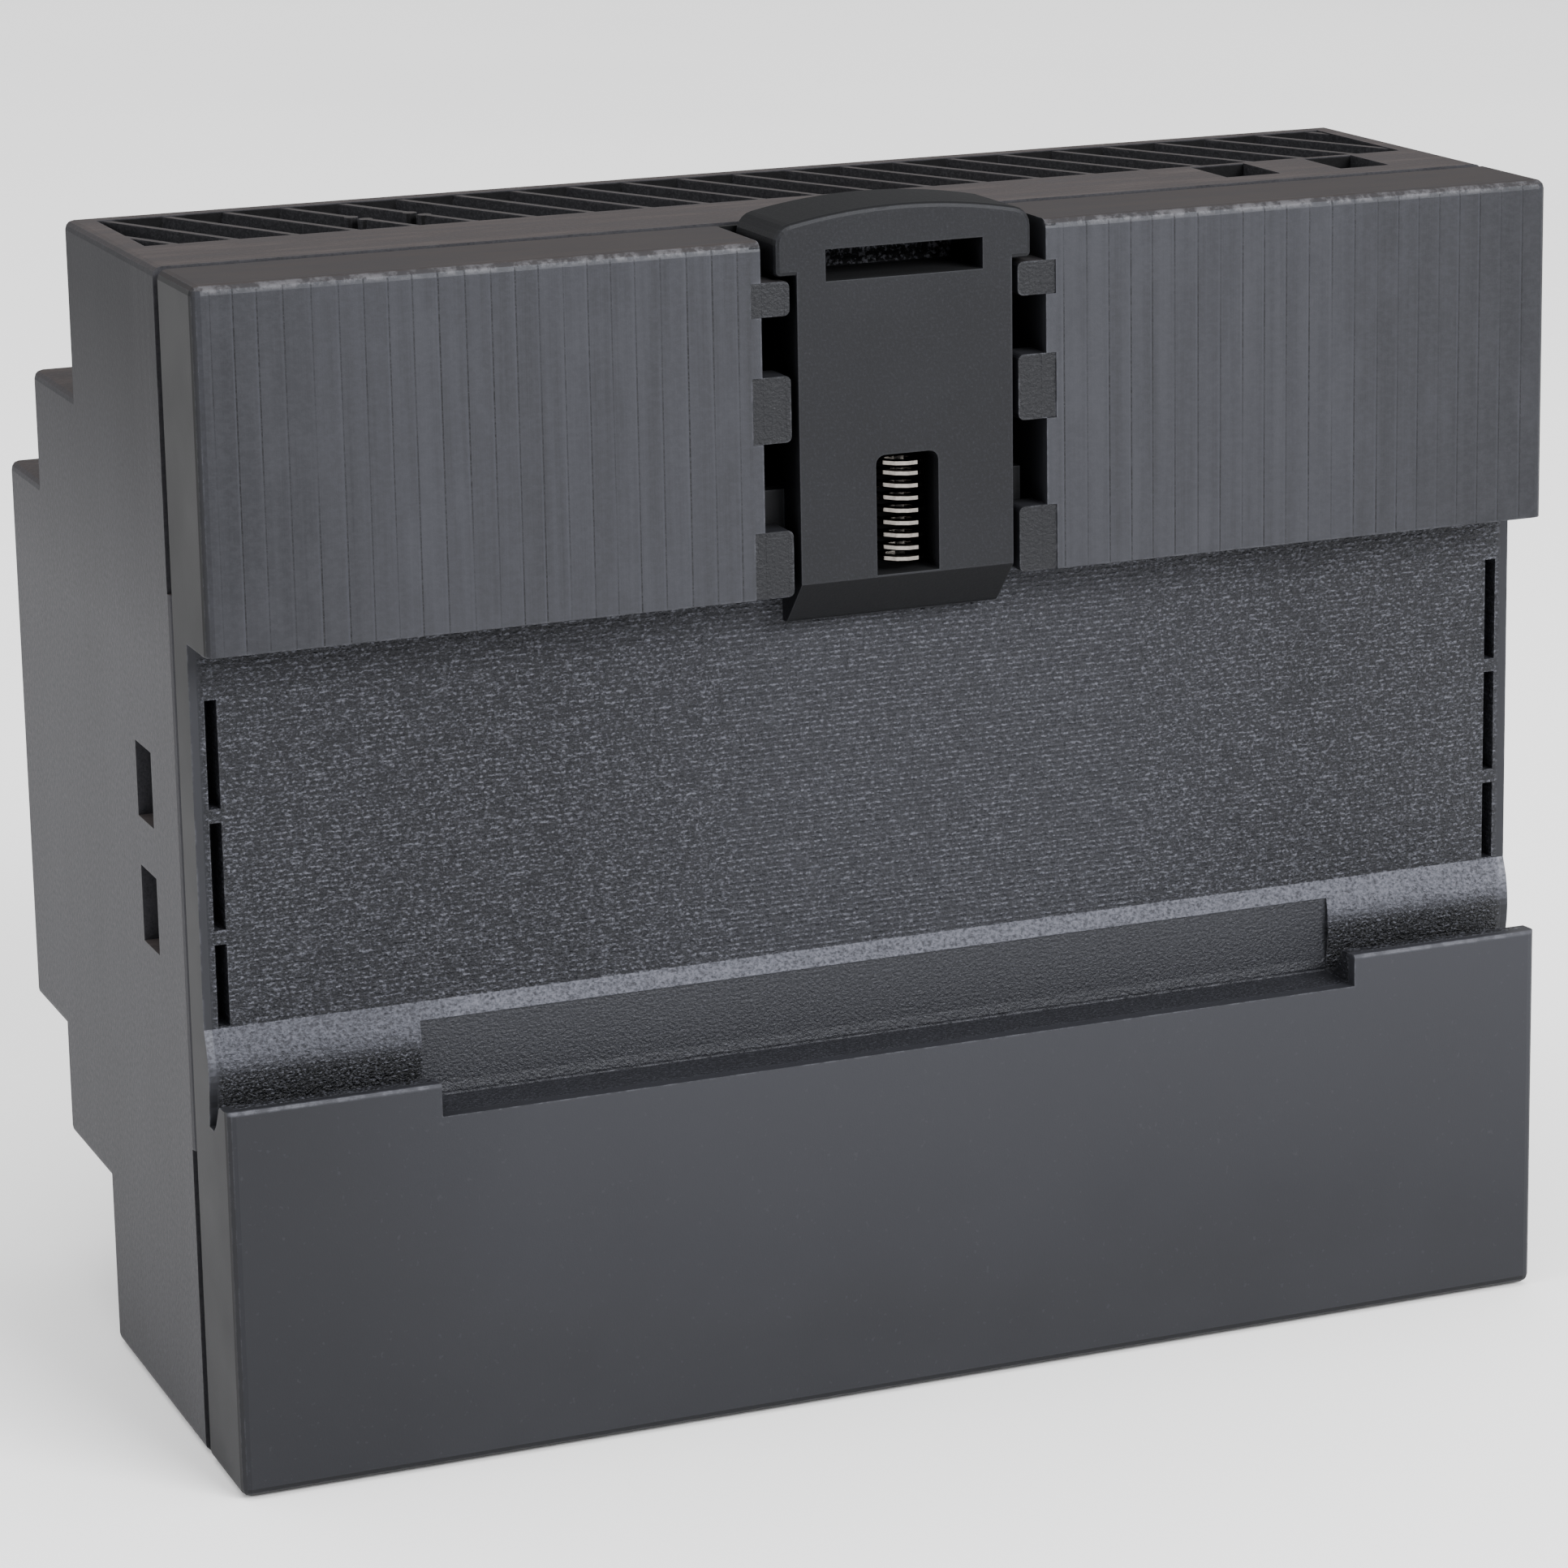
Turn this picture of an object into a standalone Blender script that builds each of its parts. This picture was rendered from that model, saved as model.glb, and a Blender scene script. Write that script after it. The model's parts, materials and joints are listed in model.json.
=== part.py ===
"""DIN rail power supply: a stepped plastic case with a sprung rail latch, plugs and its electronics.

The origin is the centre of the case's bottom. +Z is up and +Y points at the rail. Lengths in this
file are in millimetres. A "depth" is a distance in front of the rear face, so a point's Y is half
of the case's depth, less its own depth.
"""

import math

import bmesh
import bpy
from mathutils import Matrix, Vector

MM = 0.001
GAP = 0.3

# Case
WIDTH = 108.0
HEIGHT = 90.0
DEPTH = 60.3
WALL = 1.8
STEP_DEPTHS = (36.0, 48.5, 58.0)
STEP_HEIGHTS = (63.0, 45.0)
FRONT_HEIGHT = 39.0
SIDE_BEVEL = 2.4
CASE_ROUNDING = 0.7

# Rear base
CHANNEL_DEPTH = 5.3
BLOCK_BOTTOM = 63.4
LEDGE_TOP = 34.5
LEDGE_FACE = 4.5
LEDGE_MIDDLE = 30.7
LEDGE_RADIUS = 9.5
HOOK_TOP = 29.7
HOOK_NOTCH = 27.2
HOOK_LENGTH = 16.3
BASE_WALL = 2.4
FLOOR_THICKNESS = 2.0
BASE_RIM = 8.8
HOUSING_RIM = 9.3
SHADOW_RIM = 10.1
SHADOW_HEIGHTS = (23.9, 66.1)
LIP_END = 11.5
LIP_THICKNESS = 1.2
VENT_SLOT_HEIGHTS = ((34.6, 40.8), (41.9, 49.95), (51.0, 59.1))
VENT_SLOT_INSET = 1.1
VENT_SLOT_WIDTH = 0.9

# Snap fits: windows in the housing, tongues on the base
SIDE_WINDOW_HEIGHTS = ((37.0, 42.95), (46.8, 52.65))
SIDE_WINDOW_DEPTHS = (17.0, 21.4)
TOP_WINDOW_SPANS = ((-47.3, -43.0), (-37.7, -33.0))
TOP_WINDOW_DEPTHS = (13.0, 19.4)
TONGUE_THICKNESS = 1.4
TONGUE_CORNER = 0.8
TONGUE_END = 18.7
TOP_TONGUE_WIDTH = 2.9
WEDGE_RISE = 1.5

# Louvres
VENT_DEPTHS = (19.9, 34.0)
VENT_HALF_LENGTH = 51.9
LOUVRE_PITCH = 4.65
LOUVRE_SLANT = 6.5
LOUVRE_THICKNESS = 0.65
LOUVRE_HEIGHT = 2.5
LOUVRE_START = 51.05
BROKEN_LOUVRES = (3, 4)
BREAK_DEPTH = 25.6
BREAK_LENGTH = 1.5
BREAK_POST_RADIUS = 0.55
STEP_VENT_MARGIN = 1.8
STEP_VENT_WIDTH = 3.3

# Latch and its slot
SLOT_HALF_WIDTH = 11.4
SLOT_DEPTH = 8.3
TAB_HEIGHTS = ((63.4, 68.4), (75.0, 79.95), (84.4, 86.95))
TAB_INNER = 9.13
TAB_OUTER = 12.2
TAB_THICKNESS = 2.8
TAB_RECESS = 0.1
LATCH_HALF_WIDTH = 8.58
LATCH_THICKNESS = 4.6
LATCH_BEVEL_TOP = 64.2
FLANGE_HALF_WIDTH = 10.6
FLANGE_HEIGHTS = ((64.5, 70.9), (75.4, 79.6))
LATCH_TIP = 60.75
HEAD_HALF_WIDTH = 10.24
HEAD_BOTTOM = 87.25
HEAD_TOP = 92.0
HEAD_ARC_RADIUS = 45.6
HEAD_CORNER = 1.5
HEAD_DEPTH = 8.0
HEAD_ROUNDING = 0.35
KEYHOLE_HALF_WIDTH = 6.27
KEYHOLE_HEIGHTS = (86.7, 89.05)
KEYHOLE_DEPTH = 6.6
SPRING_WINDOW_HALF_WIDTH = 2.5
SPRING_WINDOW_HEIGHTS = (64.35, 73.4)
LUG_HEIGHTS = (73.4, 76.0)

# Latch spring
SPRING_TURNS = 9
SPRING_RADIUS = 1.9
SPRING_WIRE = 0.28
SPRING_DEPTH = 2.45
SPRING_START = 60

# Boards
BOARD_DEPTH = 14.0
BOARD_THICKNESS = 1.6
BOARD_HALF_WIDTH = 49.0
BOARD_HEIGHTS = (4.5, 85.5)
BOSS_RADIUS = 3.0
BOSS_PLACES = ((-44.0, 12.0), (44.0, 12.0), (-44.0, 78.0), (44.0, 78.0))
SCREW_RADIUS = 0.9
SCREW_HEAD_RADIUS = 2.4
SEAT = BOARD_DEPTH + BOARD_THICKNESS + GAP
CONTROL_BOARD_X = -21.0
CONTROL_BOARD_THICKNESS = 1.2
CONTROL_BOARD_HEIGHTS = (46.0, 64.0)
CONTROL_BOARD_END = 52.0

# Terminals
POLE_PITCH = 5.0
PLUG_HEIGHT = 7.8
PLUG_MARGIN = 0.6
PLUG_REAR = 22.0
SHROUD_WALL = 1.2
WIRE_HOLE_RADIUS = 1.4
CLAMP_SIZE = 3.2
CLAMP_WALL = 0.5
CLAMP_DEPTHS = (25.0, 29.8)
OUTPUT_X, OUTPUT_Z, OUTPUT_POLES = 22.0, 81.8, 4
INPUT_X, INPUT_Z, INPUT_POLES = 22.0, 8.2, 3

# Front face
TRIMMER_X, TRIMMER_Z = CONTROL_BOARD_X, 58.5
TRIMMER_SIZE = 6.6
ROTOR_RADIUS = 2.9
LED_X, LED_Z = CONTROL_BOARD_X, 49.0
LED_RADIUS = 1.5
PLATE_HALF_WIDTH = 48.0
PLATE_HEIGHTS = (28.0, 62.0)
PLATE_THICKNESS = 0.5

# Electronics: centre (x, z) on the board, then sizes
CAPACITOR_SIDES = 28
INPUT_CAPACITORS = ((-36.0, 26.0), (-16.0, 26.0))
INPUT_CAPACITOR_SIZE = (9.0, 30.0)
OUTPUT_CAPACITORS = ((-42.5, 64.0), (-30.0, 64.0), (24.0, 67.5))
OUTPUT_CAPACITOR_SIZE = (5.5, 22.0)
INPUT_CHOKE = (24.0, 38.0)
INPUT_CHOKE_SIZE = (6.0, 10.0, 9.0)
OUTPUT_CHOKE = (-4.0, 75.5)
OUTPUT_CHOKE_SIZE = (4.5, 8.2, 7.0)
WINDING_THICKNESS = 1.1
TRANSFORMER = (-2.0, 54.0)
CORE_WIDTH, CORE_THICKNESS, CORE_HEIGHT = 30.0, 11.0, 28.0
CORE_LEG = 5.0

BLACK_PLASTIC = (0.030, 0.031, 0.034)
COLOURS = {
    "base_plastic": ((0.062, 0.065, 0.072), 0.55, 0.0),
    "housing_plastic": ((0.088, 0.088, 0.092), 0.6, 0.0),
    "latch_plastic": ((0.034, 0.035, 0.038), 0.55, 0.0),
    "spring_steel": ((0.62, 0.60, 0.57), 0.25, 1.0),
    "plate_film": ((0.30, 0.31, 0.32), 0.5, 0.0),
    "clear_plastic": ((0.75, 0.85, 0.78), 0.2, 0.0),
    "led_green": ((0.10, 0.60, 0.20), 0.3, 0.0),
    "terminal_plastic": (BLACK_PLASTIC, 0.5, 0.0),
    "header_plastic": ((0.10, 0.10, 0.11), 0.5, 0.0),
    "tinned_copper": ((0.70, 0.69, 0.66), 0.35, 1.0),
    "board_laminate": ((0.035, 0.16, 0.07), 0.45, 0.0),
    "insulating_film": ((0.80, 0.79, 0.72), 0.4, 0.0),
    "zinc_steel": ((0.62, 0.63, 0.65), 0.35, 1.0),
    "fuse_body": ((0.05, 0.05, 0.05), 0.5, 0.0),
    "varistor_blue": ((0.05, 0.13, 0.42), 0.45, 0.0),
    "thermistor_black": ((0.03, 0.03, 0.03), 0.55, 0.0),
    "film_yellow": ((0.68, 0.50, 0.06), 0.4, 0.0),
    "ceramic_blue": ((0.08, 0.26, 0.55), 0.45, 0.0),
    "ferrite": ((0.07, 0.07, 0.07), 0.65, 0.0),
    "enamelled_wire": ((0.55, 0.20, 0.06), 0.35, 0.6),
    "capacitor_sleeve": ((0.03, 0.03, 0.05), 0.3, 0.0),
    "aluminium": ((0.72, 0.73, 0.74), 0.4, 1.0),
    "chip_epoxy": (BLACK_PLASTIC, 0.6, 0.0),
    "bobbin_plastic": ((0.08, 0.07, 0.05), 0.5, 0.0),
    "winding_tape": ((0.75, 0.62, 0.10), 0.4, 0.0),
    "trimmer_blue": ((0.05, 0.22, 0.50), 0.45, 0.0),
    "rotor_white": ((0.80, 0.80, 0.76), 0.45, 0.0),
}


# ---------------------------------------------------------------- helpers


def clear_scene():
    for old in list(bpy.data.objects):
        bpy.data.objects.remove(old)


def place(x, depth, z):
    """The point at x, that far in front of the rear face, at height z, in metres."""
    return Vector((x, DEPTH / 2 - depth, z)) * MM


def material(slot):
    found = bpy.data.materials.get(slot)
    if found:
        return found
    colour, roughness, metallic = COLOURS[slot]
    made = bpy.data.materials.new(slot)
    made.use_nodes = True
    shader = made.node_tree.nodes["Principled BSDF"]
    shader.inputs["Base Color"].default_value = (*colour, 1.0)
    shader.inputs["Roughness"].default_value = roughness
    shader.inputs["Metallic"].default_value = metallic
    return made


def finish_part(part, slot):
    """Names the part's mesh after it, gives it its material and smooth shading with sharp corners."""
    part.data.name = part.name
    part.data.materials.clear()
    part.data.materials.append(material(slot))
    if part.type == "MESH":
        part.data.shade_smooth()
        part.data.set_sharp_from_angle(angle=math.radians(35))
    return part


def new_object(name, shape):
    """An object made from a bmesh, with its faces turned outwards."""
    bmesh.ops.recalc_face_normals(shape, faces=shape.faces)
    mesh = bpy.data.meshes.new(name)
    shape.to_mesh(mesh)
    shape.free()
    made = bpy.data.objects.new(name, mesh)
    bpy.context.scene.collection.objects.link(made)
    return made


def extrude_outline(name, outline, direction):
    """A prism: a flat outline of points in metres, pushed along a direction."""
    shape = bmesh.new()
    face = shape.faces.new([shape.verts.new(point) for point in outline])
    pushed = bmesh.ops.extrude_face_region(shape, geom=[face])
    moved = [item for item in pushed["geom"] if isinstance(item, bmesh.types.BMVert)]
    bmesh.ops.translate(shape, verts=moved, vec=direction)
    return new_object(name, shape)


def prism_x(name, outline, x_range):
    """An outline of (depth, z) points, pushed along X."""
    start, end = x_range
    points = [place(start, depth, z) for depth, z in outline]
    return extrude_outline(name, points, Vector((end - start, 0, 0)) * MM)


def prism_z(name, outline, z_range):
    """An outline of (x, depth) points, pushed up."""
    start, end = z_range
    points = [place(x, depth, start) for x, depth in outline]
    return extrude_outline(name, points, Vector((0, 0, end - start)) * MM)


def slab(name, outline, depth_range):
    """An outline of (x, z) points, pushed towards the front."""
    start, end = depth_range
    points = [place(x, start, z) for x, z in outline]
    return extrude_outline(name, points, Vector((0, start - end, 0)) * MM)


def box(name, x_range, depth_range, z_range):
    (left, right), (bottom, top) = x_range, z_range
    corners = [(left, bottom), (right, bottom), (right, top), (left, top)]
    return slab(name, corners, depth_range)


def box_at(name, centre, size, depth_range):
    """A box centred on (x, z), size (width, height)."""
    (x, z), (width, height) = centre, size
    return box(name, (x - width / 2, x + width / 2), depth_range, (z - height / 2, z + height / 2))


def circle(centre, radius, sides):
    x, z = centre
    turns = [math.tau * (k + 0.5) / sides for k in range(sides)]
    return [(x + radius * math.cos(turn), z + radius * math.sin(turn)) for turn in turns]


def rod(name, centre, radius, depth_range, sides=24):
    """A cylinder whose axis runs front to back through (x, z)."""
    return slab(name, circle(centre, radius, sides), depth_range)


def turned(name, centre, profile, sides=24):
    """A solid of revolution about the front-to-back line through (x, z). The profile's (radius, depth)
    points start and end on the axis."""
    x, z = centre
    shape = bmesh.new()
    verts = [shape.verts.new(place(x + radius, depth, z)) for radius, depth in profile]
    edges = [shape.edges.new(pair) for pair in zip(verts, verts[1:])]
    bmesh.ops.spin(shape, geom=verts + edges, cent=place(x, 0, z), axis=(0, 1, 0),
                   angle=math.tau, steps=sides, use_merge=True)
    bmesh.ops.remove_doubles(shape, verts=shape.verts, dist=1e-6)
    return new_object(name, shape)


def ring_segment(name, centre, section, start, sweep, steps):
    """A section of (radius, depth) points swept about the front-to-back line through (x, z)."""
    x, z = centre
    shape = bmesh.new()
    rows = []
    closed = sweep >= 360
    for step in range(steps if closed else steps + 1):
        turn = math.radians(start + sweep * step / steps)
        rows.append([
            shape.verts.new(place(x + radius * math.cos(turn), depth, z + radius * math.sin(turn)))
            for radius, depth in section
        ])
    pairs = list(zip(rows, rows[1:] + rows[:1])) if closed else list(zip(rows, rows[1:]))
    count = len(section)
    for near, far in pairs:
        for k in range(count):
            shape.faces.new((near[k], near[(k + 1) % count], far[(k + 1) % count], far[k]))
    if not closed:
        shape.faces.new(rows[0])
        shape.faces.new(rows[-1])
    return new_object(name, shape)


def combine(target, tools, operation):
    """Adds the tools to the target or cuts them from it, and removes them."""
    group = bpy.data.collections.new("tools")
    for tool in tools:
        group.objects.link(tool)
    modifier = target.modifiers.new("combine", "BOOLEAN")
    modifier.operation = operation
    modifier.solver = "EXACT"
    modifier.operand_type = "COLLECTION"
    modifier.collection = group
    graph = bpy.context.evaluated_depsgraph_get()
    result = bpy.data.meshes.new_from_object(target.evaluated_get(graph))
    target.modifiers.clear()
    target.data = result
    for tool in tools:
        bpy.data.objects.remove(tool)
    bpy.data.collections.remove(group)
    return target


def cut(target, tools):
    return combine(target, tools, "DIFFERENCE")


def join(target, tools):
    return combine(target, tools, "UNION")


def bevel_edges(part, width, segments=2, angle=40):
    """Rounds the part's sharp edges."""
    modifier = part.modifiers.new("rounding", "BEVEL")
    modifier.width = width * MM
    modifier.segments = segments
    modifier.limit_method = "ANGLE"
    modifier.angle_limit = math.radians(angle)
    return part


def mirrored(span):
    """A span (from, to) on the +X side, and the same one on the -X side."""
    near, far = span
    return ((near, far), (-far, -near))


def arc(centre, radius, start, end, steps):
    """Points on a circle from angle start to end, in degrees."""
    turns = [math.radians(start + (end - start) * k / steps) for k in range(steps + 1)]
    return [(centre[0] + radius * math.cos(t), centre[1] + radius * math.sin(t)) for t in turns]


# ---------------------------------------------------------------- rear base


def base_profile():
    """The base's outline (depth, z): block and hook, groove, ledge, channel floor, upper block."""
    ledge = arc((LEDGE_FACE + LEDGE_RADIUS, LEDGE_MIDDLE), LEDGE_RADIUS, 192, 165, 9)
    hook = [(0, 0), (0, HOOK_TOP - 0.15), (0.15, HOOK_TOP), (2.0, 29.6), (2.2, 29.4)]
    hook += [(3.05, 27.9), (3.7, 27.3)]
    floor = [(CHANNEL_DEPTH, LEDGE_TOP), (CHANNEL_DEPTH, BLOCK_BOTTOM)]
    block = [(0, BLOCK_BOTTOM), (0, HEIGHT), (BASE_RIM, HEIGHT), (BASE_RIM, 0)]
    return hook + [(4.86, 27.3)] + ledge + floor + block


def rounded_block():
    """The base's outer limits, with every edge rounded. Its front end lies beyond the rim."""
    reach = WIDTH / 2
    block = box("limits", (-reach, reach), (0, BASE_RIM + 4), (0, HEIGHT))
    return bevel_edges(block, CASE_ROUNDING, 3)


def hook_notch():
    """Between the two hooks the ledge is cut back to a flat wall over a plain step."""
    reach = WIDTH / 2 - HOOK_LENGTH
    outline = [(-1, HOOK_NOTCH), (4.8, HOOK_NOTCH), (4.95, 28.2), (4.95, 33.15), (-1, 33.15)]
    return prism_x("notch", outline, (-reach, reach))


def base_cavities():
    """The hollow front side of the base: both blocks and the space behind the channel floor."""
    reach = WIDTH / 2 - BASE_WALL
    front = BASE_RIM + 1
    beside_slot = SLOT_HALF_WIDTH + 1.6
    behind_floor = CHANNEL_DEPTH + FLOOR_THICKNESS
    cavities = [
        box("lower", (-reach, reach), (2, front), (BASE_WALL, HOOK_NOTCH - 2)),
        box("middle", (-reach, reach), (behind_floor, front), (HOOK_NOTCH - 3, HEIGHT - BASE_WALL)),
    ]
    for span in mirrored((beside_slot, reach)):
        cavities.append(box("upper", span, (2, front), (BLOCK_BOTTOM + 2, HEIGHT - BASE_WALL)))
    return cavities


def channel_slots():
    """Narrow slots through the channel floor along both ends."""
    near = WIDTH / 2 - VENT_SLOT_INSET - VENT_SLOT_WIDTH
    slots = []
    for span in mirrored((near, near + VENT_SLOT_WIDTH)):
        for heights in VENT_SLOT_HEIGHTS:
            slots.append(box("slot", span, (CHANNEL_DEPTH - 1, BASE_RIM + 1), heights))
    return slots


def rounded_tab(side, heights):
    """A guide tab over the latch's flange, with two rounded corners at its free end."""
    bottom, top = heights
    radius = 0.45
    corner_x = TAB_INNER + radius
    outline = [(TAB_OUTER, bottom), (TAB_OUTER, top)]
    outline += arc((corner_x, top - radius), radius, 90, 180, 4)
    outline += arc((corner_x, bottom + radius), radius, 180, 270, 4)
    return slab("tab", [(side * x, z) for x, z in outline], (TAB_RECESS, TAB_RECESS + TAB_THICKNESS))


def tab_recesses():
    """The block's face is sunk a little where a tab's root overlaps it."""
    pockets = []
    for span in mirrored((SLOT_HALF_WIDTH - 1, TAB_OUTER)):
        for heights in TAB_HEIGHTS:
            pockets.append(box("recess", span, (-1, TAB_RECESS), heights))
    return pockets


def latch_slot():
    """The slot for the latch: open at both ends in front of the floor, and a pocket behind that."""
    half = SLOT_HALF_WIDTH
    return [
        box("slot_front", (-half, half), (-1, CHANNEL_DEPTH - 0.4), (BLOCK_BOTTOM - 1, HEIGHT + 1)),
        box("slot_rear", (-half, half), (4, SLOT_DEPTH), (BLOCK_BOTTOM + 1.6, HEIGHT + 1)),
    ]


def latch_guides():
    """The slot's back wall, the pad behind the latch, and the lug that holds the spring's top."""
    behind = LATCH_THICKNESS + GAP
    pad_half = LATCH_HALF_WIDTH - 0.8
    return [
        box("back_wall", (-13, 13), (SLOT_DEPTH - 0.02, 9.8), (BLOCK_BOTTOM - 1, 87.8)),
        box("pad", (-pad_half, pad_half), (behind, SLOT_DEPTH + 0.5), (BLOCK_BOTTOM + 1, 80)),
        box("lug", (-1.4, 1.4), (1.3, SLOT_DEPTH + 0.4), LUG_HEIGHTS),
    ]


def base_lip():
    """The rim that slides inside the housing."""
    reach = WIDTH / 2 - WALL - GAP
    low, high = WALL + GAP, HEIGHT - WALL - GAP
    depths = (BASE_RIM - 1.4, LIP_END)
    lip = box("lip", (-reach, reach), depths, (low, high))
    inner = reach - LIP_THICKNESS
    hole_heights = (low + LIP_THICKNESS, high - LIP_THICKNESS)
    hole = box("lip_hole", (-inner, inner), (depths[0] - 1, depths[1] + 1), hole_heights)
    return cut(lip, [hole])


def catch_outline(face, sign, start):
    """A tongue's catch as (across, depth): square towards the rail, sloping towards the front."""
    inside = face - 0.2 * sign
    outside = face + WEDGE_RISE * sign
    return [(inside, start), (outside, start), (outside, start + 0.5), (inside, TONGUE_END - 0.1)]


def tongue_outline(low, high):
    """A tongue seen from its flat side: (depth, across), with its two front corners rounded."""
    corner = TONGUE_END - TONGUE_CORNER
    outline = [(BASE_RIM - 1.3, low)]
    outline += arc((corner, low + TONGUE_CORNER), TONGUE_CORNER, 270, 360, 4)
    outline += arc((corner, high - TONGUE_CORNER), TONGUE_CORNER, 0, 90, 4)
    return outline + [(BASE_RIM - 1.3, high)]


def side_tongues():
    reach = WIDTH / 2 - WALL - GAP
    tongues = []
    start = SIDE_WINDOW_DEPTHS[0] + GAP
    for low, high in SIDE_WINDOW_HEIGHTS:
        heights = (low + GAP + 0.1, high - GAP - 0.1)
        for span in mirrored((reach - TONGUE_THICKNESS, reach)):
            tongues.append(prism_x("tongue", tongue_outline(*heights), span))
        for sign in (1, -1):
            catch = (heights[0] + TONGUE_CORNER, heights[1] - TONGUE_CORNER)
            tongues.append(prism_z("catch", catch_outline(sign * reach, sign, start), catch))
    return tongues


def top_tongues():
    """The tongues under the top and bottom windows fill only part of each window's width."""
    tongues = []
    start = TOP_WINDOW_DEPTHS[0] + GAP
    for left, right in TOP_WINDOW_SPANS:
        span = (right - GAP - TOP_TONGUE_WIDTH, right - GAP)
        for face, sign in ((HEIGHT - WALL - GAP, 1), (WALL + GAP, -1)):
            inner = face - sign * TONGUE_THICKNESS
            heights = (min(face, inner), max(face, inner))
            tongues.append(box("tongue", span, (BASE_RIM - 1.3, TONGUE_END), heights))
            outline = [(depth, across) for across, depth in catch_outline(face, sign, start)]
            tongues.append(prism_x("catch", outline, span))
    return tongues


def rear_base():
    base = prism_x("rear_base", base_profile(), (-WIDTH / 2, WIDTH / 2))
    combine(base, [rounded_block()], "INTERSECT")
    cut(base, [hook_notch()])
    cut(base, base_cavities())
    join(base, [base_lip()])
    cut(base, latch_slot())
    cut(base, channel_slots() + tab_recesses())
    join(base, latch_guides())
    join(base, [rounded_tab(side, heights) for side in (1, -1) for heights in TAB_HEIGHTS])
    join(base, side_tongues())
    join(base, top_tongues())
    join(base, [rod("boss", spot, BOSS_RADIUS, (1.5, BOARD_DEPTH - GAP)) for spot in BOSS_PLACES])
    cut(base, [rod("bore", spot, SCREW_RADIUS + GAP, (6, BOARD_DEPTH + 1), 16) for spot in BOSS_PLACES])
    return finish_part(base, "base_plastic")


# ---------------------------------------------------------------- front housing


def stepped_outline(offset, rear):
    """The case's side outline (depth, z), drawn in by an offset, from the rear rim to the front."""
    first, second, third = STEP_DEPTHS
    middle = HEIGHT / 2
    halves = [HEIGHT / 2 - offset, STEP_HEIGHTS[0] / 2 - offset, STEP_HEIGHTS[1] / 2 - offset]
    front = FRONT_HEIGHT / 2 - offset * 0.6
    upper = [
        (rear, middle + halves[0]), (first - offset, middle + halves[0]),
        (first - offset, middle + halves[1]), (second - offset, middle + halves[1]),
        (second - offset, middle + halves[2]), (third - offset * 0.6, middle + halves[2]),
        (DEPTH - offset, middle + front),
    ]
    lower = [(depth, HEIGHT - z) for depth, z in reversed(upper)]
    return upper + lower


def shadow_gap():
    """Beside the two blocks the housing stops short, which leaves a wider joint."""
    low, high = SHADOW_HEIGHTS
    reach = WIDTH / 2 + 1
    return [
        box("shadow", (-reach, reach), (HOUSING_RIM - 1, SHADOW_RIM), (-1, low)),
        box("shadow", (-reach, reach), (HOUSING_RIM - 1, SHADOW_RIM), (high, HEIGHT + 1)),
    ]


def side_bevels():
    """The front's two side edges are cut at a slant."""
    edge = WIDTH / 2
    tools = []
    for sign in (1, -1):
        outline = [
            (sign * (edge + 0.01), DEPTH - SIDE_BEVEL - 0.6), (sign * (edge + 1), DEPTH - SIDE_BEVEL),
            (sign * (edge + 1), DEPTH + 1), (sign * (edge - SIDE_BEVEL), DEPTH + 0.01),
        ]
        tools.append(prism_z("bevel", outline, (10, 80)))
    return tools


def louvre(outer_z, inner_z, rear_x, near, far):
    """One slanted rib across the vent. It starts at rear_x on the front edge and leans towards -X."""
    def across(depth):
        return rear_x - LOUVRE_SLANT * (VENT_DEPTHS[1] - depth) / (VENT_DEPTHS[1] - VENT_DEPTHS[0])
    half = LOUVRE_THICKNESS / 2
    outline = [(across(near) - half, near), (across(near) + half, near),
               (across(far) + half, far), (across(far) - half, far)]
    return prism_z("louvre", outline, (min(outer_z, inner_z), max(outer_z, inner_z)))


def louvre_positions():
    """Each rib's number and its x on the vent's front edge. The first starts beyond the vent's end."""
    count = int((2 * VENT_HALF_LENGTH) / LOUVRE_PITCH)
    return [(k, LOUVRE_START - LOUVRE_PITCH * k) for k in range(-1, count + 1)]


def louvres(outer_z, inward):
    """The ribs of one vent. Two are broken, with a round post at each end of the break."""
    ribs = []
    inner_z = outer_z + inward * LOUVRE_HEIGHT
    outer_z = outer_z + inward * 0.1
    low, high = min(outer_z, inner_z), max(outer_z, inner_z)
    near, far = VENT_DEPTHS[0] - 0.3, VENT_DEPTHS[1] + 0.3
    lean = LOUVRE_SLANT / (VENT_DEPTHS[1] - VENT_DEPTHS[0])
    for k, rear_x in louvre_positions():
        start = max(near, VENT_DEPTHS[1] - (rear_x + VENT_HALF_LENGTH + 1.0) / lean)
        end = min(far, VENT_DEPTHS[1] - (rear_x - VENT_HALF_LENGTH - 0.8) / lean)
        if k not in BROKEN_LOUVRES:
            ribs.append(louvre(outer_z, inner_z, rear_x, start, end))
            continue
        resume = BREAK_DEPTH + BREAK_LENGTH
        for first, last, post in ((start, BREAK_DEPTH, BREAK_DEPTH), (resume, end, resume)):
            rib = louvre(outer_z, inner_z, rear_x, first, last)
            post_x = rear_x - lean * (VENT_DEPTHS[1] - post)
            outline = circle((post_x, post), BREAK_POST_RADIUS, 12)
            ribs.append(join(rib, [prism_z("post", outline, (low, high))]))
    return ribs


def vent_openings():
    """The long openings in the case's top and bottom."""
    span = (-VENT_HALF_LENGTH - 0.1, VENT_HALF_LENGTH)
    return [
        box("vent", span, VENT_DEPTHS, (HEIGHT - WALL - 1, HEIGHT + 1)),
        box("vent", span, VENT_DEPTHS, (-1, WALL + 1)),
    ]


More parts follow.
